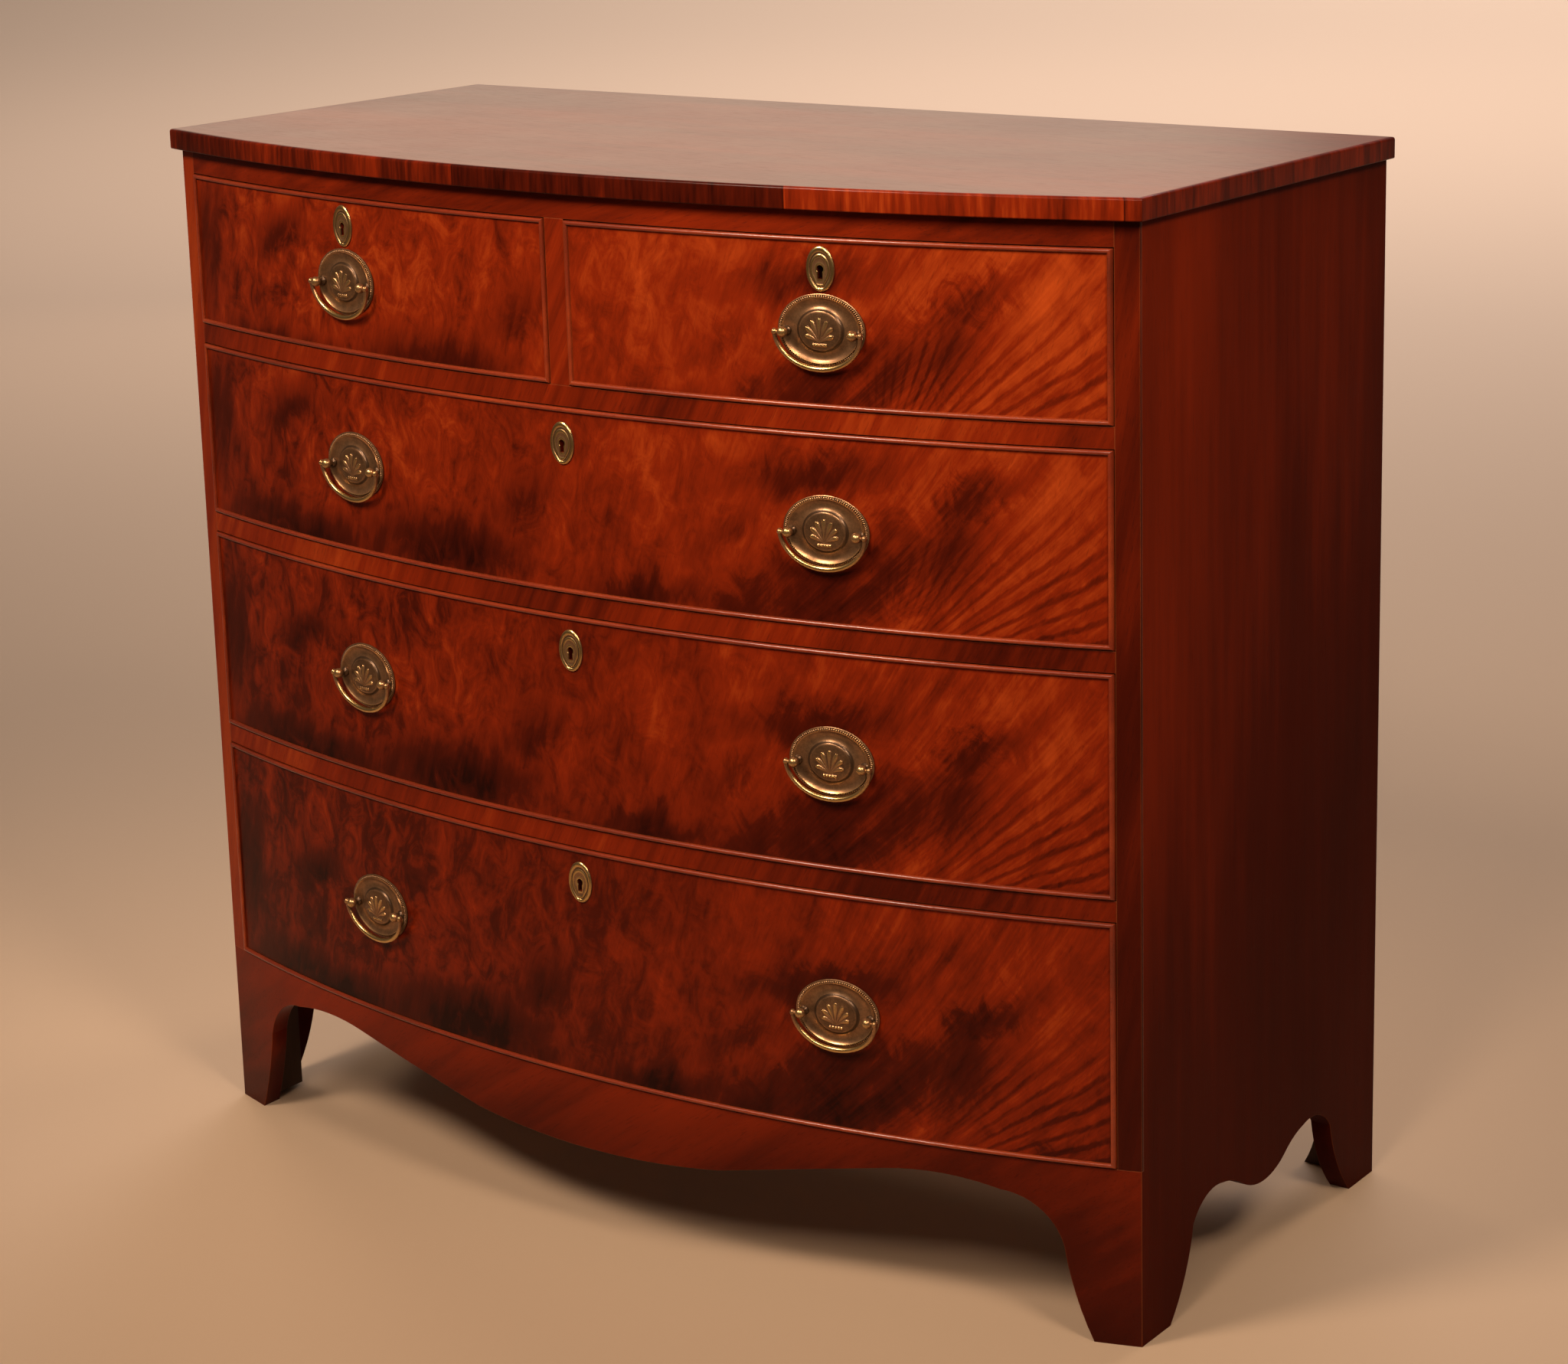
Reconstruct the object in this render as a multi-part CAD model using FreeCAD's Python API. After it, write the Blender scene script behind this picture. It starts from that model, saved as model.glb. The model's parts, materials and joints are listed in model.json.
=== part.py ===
import FreeCAD, Part
import math
import os

# Bow-front chest of drawers: two short drawers over three long ones.
# Millimetres. +Z is up, -Y is the front, +X is to the right of someone facing it.
# The origin is on the floor, in the middle of the chest's width and depth.

# Carcass
carcass_width = 1060.0
side_depth = 432.0  # front corner to back edge
bow_rise = 85.0  # the middle of the front stands this far before its corners
side_thickness = 20.0  # also the width of the stiles
facing_thickness = 3.0
base_height = 160.5  # floor to the lowest drawer opening
rail_height = 18.5
rail_end_depth = 45.0
top_rail_height = 22.0
divider_width = 21.0
housing_depth = 8.0
housing_setback = 8.0
tenon_thickness = 10.0
back_board_thickness = 10.0
back_board_count = 6
back_board_gap = 1.0
bottom_board_thickness = 16.0

# Heights of the drawer openings
short_opening = 145.0
upper_opening = 168.0
middle_opening = 196.0
lower_opening = 220.0

# Top
top_thickness = 19.0
top_end_overhang = 7.0
top_front_overhang = 10.0
top_back_overhang = 2.0
lipping_thickness = 4.0
upper_arris = 2.2
lower_arris = 1.2

# Apron and feet: a chain of arcs from the toe up, as (distance in from the outer corner, height),
# where every second point ends one arc and starts the next; the last arc passes the middle
apron_thickness = 20.0
apron_toe = [(40, 0), (53, 34), (65, 85), (80, 112)]
apron_crown = [(120, 130), (165, 137), (225, 133.5), (308, 118), (390, 101)]
apron_middle_height = 91.5
side_outline = [(48, 0), (70, 30), (88, 79), (106, 95), (140, 98.5), (160, 93), (178, 83)]
side_middle_height = 72.0
foot_block_width = 18.0
foot_block_depth = 30.0
foot_block_clearance = 6.0  # above the floor
rear_bracket_thickness = 14.0
rear_bracket_reach = 120.0
rear_bracket_toe = 45.0
rear_bracket_knee = (50.0, 104.0)  # in from the side, and up

# Inside
runner_width = 20.0
runner_ledge = 10.0
dust_board_thickness = 8.0
dust_board_drop = 2.5  # below the running surface
centre_guide_height = 30.0
kicker_clearance = 1.0
stop_width = 40.0
stop_height = 5.0
stop_depth = 18.0
stop_gap = 0.3
long_stop_offset = 200.0
short_stop_offset = 110.0  # either side of a short drawer's middle

# Drawers
drawer_gap = 1.0  # round each front
front_thickness = 22.0
bead_width = 4.0
bead_depth = 10.0
bead_proud = 2.5
drawer_wall = 10.0
drawer_side_drop = 6.0  # top edge of the sides below the front's
drawer_back_drop = 3.0  # top edge of the back below the sides'
drawer_rear_gap = 12.0
drawer_bottom_thickness = 7.0
drawer_bottom_rise = 6.5  # above the running surface
groove_depth = 5.0
tail_lap = 1.5
tail_pitch = 60.0
tail_share = 0.7  # of the pitch, at a tail's wide end
tail_slope = 6.0  # one in six
tail_margin = 2.0

# Brass
oval_sides = 24
bore_sides = 8
keyhole_sides = 8
bail_sides = 14
handle_offset = 265.0  # from the middle of the chest
long_handle_drop = 1.5  # pivots below the middle of the opening
short_handle_drop = 7.0
plate_half_width = 40.0
plate_half_height = 30.5
plate_rise = 1.5  # its middle above the pivots
plate_thickness = 2.4
boss_half_width = 20.5
boss_half_height = 17.5
boss_height = 5.0
post_spacing = 64.0
post_width = 4.4
post_clearance = 0.1
post_end = 2.0  # past the nut
neck_width = 6.0
knob_radius = 4.6
knob_reach = 9.5  # drawer face to the pivot
nut_width = 12.0
nut_thickness = 3.5
pivot_radius = 1.5
pivot_clearance = 0.05
bail_thickness = 4.8
bail_drop = 30.4  # pivot to the middle of the bail's lowest stretch
bail_end_rise = 2.5  # its ends above the pivots
bail_end_gap = 0.4
long_key_drop = 32.5  # keyhole below the top of the opening
short_key_drop = 27.0
escutcheon_half_width = 13.0
escutcheon_half_height = 19.0
escutcheon_thickness = 2.0
keyhole_radius = 3.0
keyhole_slot = 3.2
keyhole_drop = 8.5

# Locks
lock_half_width = 24.0
lock_flange = 8.0
lock_depth = 11.5
lock_plate = 1.5
lock_proud = 0.5
lock_below_key = 12.0
bolt_half_width = 9.0
bolt_thickness = 6.0
bolt_length = 16.0
bolt_travel = 7.0
bolt_clearance = 0.3
bolt_sunk = 0.2
mortise_clearance = 1.5

V = FreeCAD.Vector
UP = V(0, 0, 1)
ACROSS = V(1, 0, 0)
half_width = carcass_width / 2
inner_half = half_width - side_thickness
corner_y = (bow_rise + top_front_overhang - side_depth - top_back_overhang) / 2
back_y = corner_y + side_depth
inner_back_y = back_y - back_board_thickness
rail_back_y = corner_y + rail_end_depth
bow_radius = (half_width**2 + bow_rise**2) / (2 * bow_rise)
bow_axis_y = corner_y - bow_rise + bow_radius
bottom_level = base_height - bottom_board_thickness  # underside of the bottom board
lower_level = base_height
middle_level = lower_level + lower_opening + rail_height
upper_level = middle_level + middle_opening + rail_height
short_level = upper_level + upper_opening + rail_height
top_rail_level = short_level + short_opening
top_level = top_rail_level + top_rail_height
drawer_back_y = inner_back_y - drawer_rear_gap


# Shapes that the pieces share


def bow_y(x, inset=0.0):
    """Y of the front curve at x, moved into the chest by inset."""
    return bow_axis_y - math.sqrt((bow_radius - inset) ** 2 - x * x)


def bow_arc(x0, x1, inset, z):
    """Edge along the front curve."""
    points = [V(x, bow_y(x, inset), z) for x in (x0, (x0 + x1) / 2, x1)]
    return Part.Arc(*points).toShape()


def bow_board(x0, x1, z0, z1, inset, straight_back=None, back_inset=None):
    """Board whose front follows the bow, and whose back is straight or follows it too."""
    edges = [bow_arc(x0, x1, inset, z0)]
    left, right = V(x0, bow_y(x0, inset), z0), V(x1, bow_y(x1, inset), z0)
    if back_inset is None:
        back_left, back_right = V(x0, straight_back, z0), V(x1, straight_back, z0)
        edges.append(Part.makeLine(back_left, back_right))
    else:
        back_left, back_right = V(x0, bow_y(x0, back_inset), z0), V(x1, bow_y(x1, back_inset), z0)
        edges.append(bow_arc(x0, x1, back_inset, z0))
    edges += [Part.makeLine(left, back_left), Part.makeLine(right, back_right)]
    face = Part.Face(Part.Wire(Part.__sortEdges__(edges)))
    return face.extrude(V(0, 0, z1 - z0))


def box(x0, x1, y0, y1, z0, z1):
    return Part.makeBox(x1 - x0, y1 - y0, z1 - z0, V(x0, y0, z0))


def plan_prism(points, z0, z1):
    """Polygon of (x, y) points, raised from z0 to z1."""
    ring = [V(x, y, z0) for x, y in points + points[:1]]
    return Part.Face(Part.makePolygon(ring)).extrude(V(0, 0, z1 - z0))


def front_prism(points, y0, y1):
    """Polygon of (x, z) points, carried from y0 to y1."""
    ring = [V(x, y0, z) for x, z in points + points[:1]]
    return Part.Face(Part.makePolygon(ring)).extrude(V(0, y1 - y0, 0))


def mirrored(shape):
    return shape.mirror(V(0, 0, 0), ACROSS)


def arch(points, sweep):
    """Space under a chain of three-point arcs, down past the floor, carried along sweep."""
    arcs = [Part.Arc(*points[i : i + 3]).toShape() for i in range(0, len(points) - 2, 2)]
    below = V(0, 0, base_height)
    first, last = points[0], points[-1]
    legs = Part.makePolygon([first, first - below, last - below, last])
    return Part.Face(Part.Wire(Part.__sortEdges__(arcs + legs.Edges))).extrude(sweep)


def on_front(shape, x, z):
    """Sets hardware, modelled flat with +Z outwards and +Y up, square to the bow at x."""
    turn = math.degrees(math.asin(x / bow_radius))
    spin = FreeCAD.Rotation(UP, turn).multiply(FreeCAD.Rotation(ACROSS, 90))
    placed = shape.copy()
    placed.Placement = FreeCAD.Placement(V(x, bow_y(x), z), spin)
    return placed


def oval(wide, high, first, last, sides):
    """Points (wide cos a, high sin a) of an oval, from one angle in degrees to another."""
    angles = [math.radians(first + (last - first) * i / sides) for i in range(sides + 1)]
    return [(wide * math.cos(a), high * math.sin(a)) for a in angles]


def disc(wide, high, w0, w1):
    """Oval plate between two heights."""
    return plan_prism(oval(wide, high, 0, 360, oval_sides)[:-1], w0, w1)


def rod(radius, start, end):
    return Part.makeCylinder(radius, (end - start).Length, start, end - start)


def save(name, *solids):
    shape = solids[0] if len(solids) == 1 else Part.makeCompound(solids)
    shape.exportStep(f"parts/{name}.step")
    sound = all(solid.isValid() for solid in shape.Solids)
    volume = round(shape.Volume / 1000, 1)
    print(name, len(shape.Solids), "solids", volume, "cm3", "" if sound else "FLAWED")


# Carcass


def make_rail(z0, height, bolt_places, tenons):
    """Rail between the sides, housed into them, with a mortise under it for each bolt."""
    rail = bow_board(-inner_half, inner_half, z0, z0 + height, 0, straight_back=rail_back_y)
    stub_front = bow_y(inner_half) + housing_setback
    reach = inner_half + housing_depth
    rail = rail.fuse(box(-reach, reach, stub_front, rail_back_y, z0, z0 + height)).removeSplitter()
    for x in bolt_places:
        rail = rail.cut(on_front(bolt_mortise(), x, z0))
    for tenon in tenons:
        rail = rail.cut(tenon)
    return rail


def bolt_mortise():
    room = mortise_clearance
    width, depth = bolt_half_width + room, bolt_thickness + 2 * room
    middle = bolt_middle()
    return Part.makeBox(2 * width, bolt_travel + room, depth, V(-width, 0, middle - depth / 2))


def bolt_middle():
    """Height of the bolt's middle plane behind the drawer's face, seen as a bench height."""
    return -(front_thickness - lock_depth / 2)


def divider_tenon(z0, z1):
    half = tenon_thickness / 2
    return box(-half, half, bow_y(0) + housing_setback, rail_back_y, z0, z1)


def make_side():
    """Right side: square to the stile above, mitred to the apron below, cut out into two feet."""
    edge, inner = half_width, inner_half
    upper = [
        (edge, bow_y(edge, facing_thickness)),
        (edge, back_y),
        (inner, back_y),
        (inner, bow_y(inner, facing_thickness)),
    ]
    lower = [(edge, corner_y), (edge, back_y), (inner, back_y), (inner, bow_y(inner, apron_thickness))]
    side = plan_prism(upper, base_height, top_level).fuse(plan_prism(lower, 0, base_height))
    front_foot = [V(inner, corner_y + d, z) for d, z in side_outline]
    middle = V(inner, (corner_y + back_y) / 2, side_middle_height)
    rear_foot = [V(inner, back_y - d, z) for d, z in reversed(side_outline)]
    side = side.cut(arch(front_foot + [middle] + rear_foot, V(side_thickness, 0, 0)))
    rebate = inner + back_board_thickness
    side = side.cut(box(inner, rebate, inner_back_y, back_y, bottom_level, top_level))
    return side.removeSplitter()


def make_facing():
    edge, inner = half_width, inner_half
    outline = [
        (edge, corner_y),
        (edge, bow_y(edge, facing_thickness)),
        (inner, bow_y(inner, facing_thickness)),
        (inner, bow_y(inner)),
    ]
    return plan_prism(outline, base_height, top_level)


def make_apron():
    """Bowed board with both front foot faces, its ends mitred to the sides."""
    edge, inner = half_width, inner_half
    front = bow_arc(-edge, edge, 0, 0)
    back = bow_arc(-inner, inner, apron_thickness, 0)
    mitres = [
        Part.makeLine(V(side * edge, corner_y, 0), V(side * inner, bow_y(inner, apron_thickness), 0))
        for side in (-1, 1)
    ]
    board = Part.Face(Part.Wire(Part.__sortEdges__([front, back] + mitres))).extrude(V(0, 0, base_height))
    y = corner_y - bow_rise
    right = [V(edge - d, y, z) for d, z in apron_toe + apron_crown]
    left = [V(-p.x, p.y, p.z) for p in right]
    points = left + [V(0, y, apron_middle_height)] + right[::-1]
    return board.cut(arch(points, V(0, side_depth, 0)))


def make_bottom():
    z0, z1 = bottom_level, base_height
    board = bow_board(-inner_half, inner_half, z0, z1, apron_thickness, straight_back=inner_back_y)
    reach = inner_half + housing_depth
    stub_front = bow_y(inner_half, apron_thickness) + housing_setback
    return board.fuse(box(-reach, reach, stub_front, inner_back_y, z0, z1)).removeSplitter()


def outer_edges(slab, z, rear):
    """Edges of a slab at one height, apart from those along its back."""
    tiny = 1e-4
    boxes = [(edge, edge.BoundBox) for edge in slab.Edges]
    level = [(edge, b) for edge, b in boxes if max(abs(b.ZMin - z), abs(b.ZMax - z)) < tiny]
    return [edge for edge, b in level if b.YMin < rear - tiny]


def make_top():
    """Top board and the lipping round its front and ends, which carries the eased arrises."""
    end = half_width + top_end_overhang
    rear = back_y + top_back_overhang
    z1 = top_level + top_thickness
    slab = bow_board(-end, end, top_level, z1, -top_front_overhang, straight_back=rear)
    slab = slab.makeChamfer(upper_arris, outer_edges(slab, z1, rear))
    slab = slab.makeChamfer(lower_arris, outer_edges(slab, top_level, rear))
    inner_end = end - lipping_thickness
    inner_front = lipping_thickness - top_front_overhang
    core = bow_board(-inner_end, inner_end, top_level, z1, inner_front, straight_back=rear)
    lipping = slab.cut(core)
    corner = bow_y(inner_end, inner_front)
    right_end = lipping.common(box(inner_end, end, corner, rear, top_level, z1))
    left_end = mirrored(right_end)
    front = lipping.cut(right_end).cut(left_end)
    return core, [front, left_end, right_end]


def make_runner(x, level, ledges):
    """Runner of one tier, top flush with its rail; its ledges carry the dust boards."""
    z0 = level - rail_height
    ledge_top = level - dust_board_drop - dust_board_thickness
    runner = box(x[0], x[1], rail_back_y, inner_back_y, z0, level)
    for side in ledges:
        near = x[1] if side > 0 else x[0] - runner_ledge
        runner = runner.fuse(box(near, near + runner_ledge, rail_back_y, inner_back_y, z0, ledge_top))
    return runner.removeSplitter()


def make_dust_board(x0, x1, level):
    z1 = level - dust_board_drop
    return box(x0, x1, rail_back_y, inner_back_y, z1 - dust_board_thickness, z1)


def make_stop(x, level):
    half = stop_width / 2
    inset = front_thickness + stop_gap
    rear = max(bow_y(x - half, inset), bow_y(x + half, inset)) + stop_depth
    return bow_board(x - half, x + half, level, level + stop_height, inset, straight_back=rear)


def make_back_boards():
    reach = inner_half + back_board_thickness
    width = (2 * reach - (back_board_count - 1) * back_board_gap) / back_board_count
    boards = []
    for i in range(back_board_count):
        x0 = -reach + i * (width + back_board_gap)
        boards.append(box(x0, x0 + width, inner_back_y, back_y, bottom_level, top_level))
    return boards


def make_foot_blocks():
    """Glue blocks behind the front feet, and shaped brackets across the rear ones."""
    under = bottom_level
    x0, x1 = inner_half - foot_block_width, inner_half
    block_back = bow_y(x1, apron_thickness) + foot_block_depth
    block = bow_board(x0, x1, foot_block_clearance, under, apron_thickness, straight_back=block_back)
    toe = V(inner_half - rear_bracket_toe, back_y, 0)
    tip = V(inner_half - rear_bracket_reach, back_y, under)
    knee = V(inner_half - rear_bracket_knee[0], back_y, rear_bracket_knee[1])
    edges = Part.makePolygon([toe, V(inner_half, back_y, 0), V(inner_half, back_y, under), tip]).Edges
    edges.append(Part.Arc(tip, knee, toe).toShape())
    bracket = Part.Face(Part.Wire(Part.__sortEdges__(edges))).extrude(V(0, -rear_bracket_thickness, 0))
    return [block, mirrored(block), bracket, mirrored(bracket)]


# Drawers


def dovetails(x0, x1, wide_y, narrow_y, z0, z1):
    """Tails of a drawer side, spread between two heights, wide at wide_y."""
    count = max(2, round((z1 - z0) / tail_pitch))
    pitch = (z1 - z0) / count
    wide = pitch * tail_share / 2
    narrow = wide - abs(wide_y - narrow_y) / tail_slope
    tails = []
    for i in range(count):
        middle = z0 + (i + 0.5) * pitch
        corners = [
            V(x0, wide_y, middle - wide),
            V(x0, wide_y, middle + wide),
            V(x0, narrow_y, middle + narrow),
            V(x0, narrow_y, middle - narrow),
        ]
        tails.append(Part.Face(Part.makePolygon(corners + corners[:1])).extrude(V(x1 - x0, 0, 0)))
    return tails


def make_beads(x0, x1, z0, z1):
    """Strips mitred round the front, a little proud of it: the level ones as deep as the front,
    the upright ones in a rebate, so that the dovetails show behind them."""
    width = bead_width
    near, far = corner_y - bow_rise - width, back_y
    levels = []
    for low in (z0, z1 - width):
        levels.append(bow_board(x0, x1, low, low + width, -bead_proud, back_inset=front_thickness))
    uprights = []
    for edge, inward in ((x0, 1), (x1, -1)):
        outer, inner = edge - inward * width, edge + inward * width
        mitres = [(outer, z0 - width), (outer, z1 + width), (inner, z1 - width), (inner, z0 + width)]
        between_mitres = front_prism(mitres, near, far)
        seat = [(x, bow_y(x, bead_depth)) for x in (outer, edge, inner)]
        room = plan_prism([(outer, near)] + seat + [(inner, near)], z0 - width, z1 + width)
        room = room.common(between_mitres)
        levels = [level.cut(room) for level in levels]
        nose = [(x, bow_y(x, -bead_proud)) for x in (inner, edge)]
        uprights.append(plan_prism(seat[1:] + nose, z0, z1).common(between_mitres))
    return levels + uprights


def keyhole(w0, w1):
    """Round top and straight slot of a keyhole, from w0 to w1."""
    half = keyhole_slot / 2
    slot_angle = math.degrees(math.acos(half / keyhole_radius))
    top = oval(keyhole_radius, keyhole_radius, -slot_angle, 180 + slot_angle, keyhole_sides)
    return plan_prism(top + [(-half, -keyhole_drop), (half, -keyhole_drop)], w0, w1)


def key_way():
    """Plain slot behind the keyhole, through the front and into the lock."""
    width = 2 * keyhole_radius
    height = keyhole_radius + keyhole_drop
    depth = front_thickness - lock_plate
    return Part.makeBox(width, height, 2 * depth, V(-keyhole_radius, -keyhole_drop, -depth))


def make_escutcheon():
    plate = disc(escutcheon_half_width, escutcheon_half_height, 0, escutcheon_thickness)
    return plate.cut(keyhole(0, escutcheon_thickness))


def square_bar(width, x, w0, w1):
    """Square bar standing out of the front at x, from w0 to w1."""
    return Part.makeBox(width, width, w1 - w0, V(x - width / 2, -width / 2, w0))


def make_plate():
    """Oval handle plate with a raised boss in the middle and two holes for its posts."""
    plate = disc(plate_half_width, plate_half_height, 0, plate_thickness)
    plate = plate.fuse(disc(boss_half_width, boss_half_height, plate_thickness, boss_height))
    plate.translate(V(0, plate_rise, 0))
    hole = post_width + post_clearance
    for x in (-post_spacing / 2, post_spacing / 2):
        plate = plate.cut(square_bar(hole, x, 0, plate_thickness))
    return plate.removeSplitter()


def make_knob(x):
    """Faceted ball: a cube with every edge taken off square to its middle."""
    centre = V(x, 0, knob_reach)
    size = 2 * knob_radius
    cube = Part.makeBox(size, size, size, centre - V(knob_radius, knob_radius, knob_radius))
    knob = cube
    for axis in (ACROSS, V(0, 1, 0), UP):
        turned = cube.copy()
        turned.rotate(centre, axis, 45)
        knob = knob.common(turned)
    return knob


def make_post(x):
    """Square post through the front, with a knob whose bore holds one end of the bail."""
    tail = -(front_thickness + nut_thickness + post_end)
    shank = square_bar(post_width, x, tail, plate_thickness)
    neck = square_bar(neck_width, x, plate_thickness, knob_reach)
    return shank.fuse(neck).fuse(make_knob(x)).removeSplitter().cut(pivot_bore(x))


def pivot_bore(x):
    """Many-sided bore through a knob, whose flats clear the bail's round pivot."""
    flat = pivot_radius + pivot_clearance
    corner = flat / math.cos(math.pi / bore_sides)
    ring = [V(x - knob_radius, a, knob_reach + b) for a, b in oval(corner, corner, 0, 360, bore_sides)]
    return Part.Face(Part.makePolygon(ring)).extrude(V(2 * knob_radius, 0, 0))


def make_nut(x):
    low = -(front_thickness + nut_thickness)
    nut = square_bar(nut_width, x, low, -front_thickness + nut_thickness)
    return nut.cut(square_bar(post_width + post_clearance, x, low, nut_thickness))


def make_bail():
    """Half-oval bail hanging from two round pivots that point inwards into the knobs."""
    half = bail_thickness / 2
    reach = post_spacing / 2 + knob_radius + bail_end_gap + half
    outer = oval(reach + half, bail_drop + half, 0, -180, bail_sides)
    inner = oval(reach - half, bail_drop - half, -180, 0, bail_sides)
    left_end = [(-reach - half, bail_end_rise), (half - reach, bail_end_rise)]
    right_end = [(reach - half, bail_end_rise), (reach + half, bail_end_rise)]
    bail = plan_prism(outer + left_end + inner + right_end, knob_reach - half, knob_reach + half)
    for side in (-1, 1):
        tip = side * (post_spacing / 2 - knob_radius)
        bail = bail.fuse(rod(pivot_radius, V(side * reach, 0, knob_reach), V(tip, 0, knob_reach)))
    return bail.removeSplitter()


def make_lock(key_drop):
    """Lock case let into the back of the front, with a flange down it and along its top edge."""
    back = -(front_thickness + lock_proud)
    front = -(front_thickness - lock_depth)
    low = -key_drop - lock_below_key
    wide = lock_half_width + lock_flange
    case = Part.makeBox(2 * lock_half_width, -low, front - back, V(-lock_half_width, low, back))
    flange = Part.makeBox(2 * wide, -low, lock_plate, V(-wide, low, back))
    selvedge = Part.makeBox(2 * wide, lock_plate, front - back, V(-wide, -lock_plate, back))
    return case.fuse(flange).fuse(selvedge).removeSplitter()


def make_bolt(room=0.0):
    """Bolt in its drawn position, or the channel for it with room all round."""
    width, depth = bolt_half_width + room, bolt_thickness / 2 + room
    low = -bolt_sunk - bolt_length - room
    high = -bolt_sunk if room == 0 else 0
    return Part.makeBox(2 * width, high - low, 2 * depth, V(-width, low, bolt_middle() - depth))


def make_drawer(name, x0, x1, level, opening, handle_places, handle_drop, key_x, key_drop):
    """All pieces of one drawer; x0 and x1 are the edges of its opening."""
    x0, x1 = x0 + drawer_gap, x1 - drawer_gap
    z0, z1 = level + drawer_gap, level + opening - drawer_gap
    handle_z = level + opening / 2 - handle_drop
    key_z = level + opening - key_drop
    beads = make_beads(x0, x1, z0, z1)
    blank = bow_board(x0, x1, level, z1, 0, back_inset=front_thickness)
    front = bow_board(x0, x1, z0 + bead_width, z1 - bead_width, 0, back_inset=front_thickness)
    for bead in beads:
        front = front.cut(bead)

    panel_low = level + drawer_bottom_rise
    panel_high = panel_low + drawer_bottom_thickness
    left, right = x0 + drawer_wall - groove_depth, x1 - drawer_wall + groove_depth
    panel_inset = front_thickness - groove_depth
    panel = bow_board(left, right, panel_low, panel_high, panel_inset, straight_back=drawer_back_y)
    side_top = z1 - drawer_side_drop
    back_top = side_top - drawer_back_drop
    back_front_y = drawer_back_y - drawer_wall
    rear_board = box(x0 + drawer_wall, x1 - drawer_wall, back_front_y, drawer_back_y, panel_high, back_top)
    sides = []
    for edge, wall in ((x0, drawer_wall), (x1, -drawer_wall)):
        near, far = sorted((edge, edge + wall))
        tail_y = max(bow_y(near, bead_depth), bow_y(far, bead_depth)) + tail_lap
        root_y = max(bow_y(near, front_thickness), bow_y(far, front_thickness))
        side = box(near, far, tail_y, drawer_back_y, level, side_top).cut(blank)
        for tail in dovetails(near, far, tail_y, root_y, panel_high + tail_margin, side_top - tail_margin):
            front = front.cut(tail)
            side = side.fuse(tail.common(blank))
        sides.append(side.removeSplitter().cut(panel))
    front = front.cut(panel)

    case = on_front(make_lock(key_drop - drawer_gap), key_x, z1)
    lock = case.cut(on_front(make_bolt(bolt_clearance), key_x, z1)).cut(on_front(key_way(), key_x, key_z))
    front = front.cut(case).cut(on_front(key_way(), key_x, key_z))
    beads = [bead.cut(case) for bead in beads]

    plates, posts, nuts = [], [], []
    for x in handle_places:
        plates.append(on_front(make_plate(), x, handle_z))
        for side in (-1, 1):
            place = side * post_spacing / 2
            hole = square_bar(post_width + post_clearance, place, -2 * front_thickness, front_thickness)
            front = front.cut(on_front(hole, x, handle_z))
            posts.append(on_front(make_post(place), x, handle_z))
            nuts.append(on_front(make_nut(place), x, handle_z).cut(blank))

    save(f"{name}_front", front)
    save(f"{name}_cockbeads", *beads)
    save(f"{name}_box", *sides, rear_board, panel)
    save(f"{name}_handle_plates", *plates, *posts, *nuts)
    save(f"{name}_escutcheon", on_front(make_escutcheon(), key_x, key_z))
    save(f"{name}_lock", lock)
    save(f"{name}_lock_bolt", on_front(make_bolt(), key_x, z1))
    for x in handle_places:
        hand = "" if len(handle_places) == 1 else ("left_" if x < 0 else "right_")
        save(f"{name}_{hand}bail", on_front(make_bail(), x, handle_z))


os.makedirs("parts", exist_ok=True)

right_side = make_side()
bottom_board = make_bottom()
post_half = divider_width / 2
lower_tenon = divider_tenon(short_level - housing_depth, short_level)
upper_tenon = divider_tenon(top_rail_level, top_rail_level + housing_depth)
rails = {
    "lower_rail": make_rail(middle_level - rail_height, rail_height, [0], []),
    "middle_rail": make_rail(upper_level - rail_height, rail_height, [0], []),
    "upper_rail": make_rail(short_level - rail_height, rail_height, [0], [lower_tenon]),
    "top_rail": make_rail(top_rail_level, top_rail_height, [-handle_offset, handle_offset], [upper_tenon]),
}
for rail in rails.values():
    right_side = right_side.cut(rail)
right_side = right_side.cut(bottom_board)
divider = bow_board(-post_half, post_half, short_level, top_rail_level, 0, straight_back=rail_back_y)
divider = divider.fuse(lower_tenon).fuse(upper_tenon).removeSplitter()
top_board, lipping = make_top()
right_facing = make_facing()

save("top_board", top_board)
save("top_edge_lipping", *lipping)
save("right_side", right_side)
save("left_side", mirrored(right_side))
save("stile_facings", right_facing, mirrored(right_facing))
for name, rail in rails.items():
    save(name, rail)
save("short_drawer_divider", divider)
save("apron", make_apron())
save("bottom_board", bottom_board)
save("back_boards", *make_back_boards())
save("foot_blocks", *make_foot_blocks())

# Runners stand along the sides and under the middle of the short drawers
side_run = (inner_half - runner_width, inner_half)
centre_run = (-runner_width, runner_width)
runners, dust_boards = [], []
for level in (middle_level, upper_level, short_level):
    runner = make_runner(side_run, level, [-1])
    runners += [runner, mirrored(runner)]
runners.append(make_runner(centre_run, short_level, [-1, 1]))
guide_top = short_level + centre_guide_height
runners.append(box(-post_half, post_half, rail_back_y, inner_back_y, short_level, guide_top))
kicker_low = top_rail_level + kicker_clearance
for x0, x1 in (side_run, centre_run, (-side_run[1], -side_run[0])):
    runners.append(box(x0, x1, rail_back_y, inner_back_y, kicker_low, top_level))
for level in (middle_level, upper_level):
    dust_boards.append(make_dust_board(-side_run[0], side_run[0], level))
dust_board = make_dust_board(centre_run[1], side_run[0], short_level)
dust_boards += [dust_board, mirrored(dust_board)]
save("drawer_runners", *runners)
save("dust_boards", *dust_boards)

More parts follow.
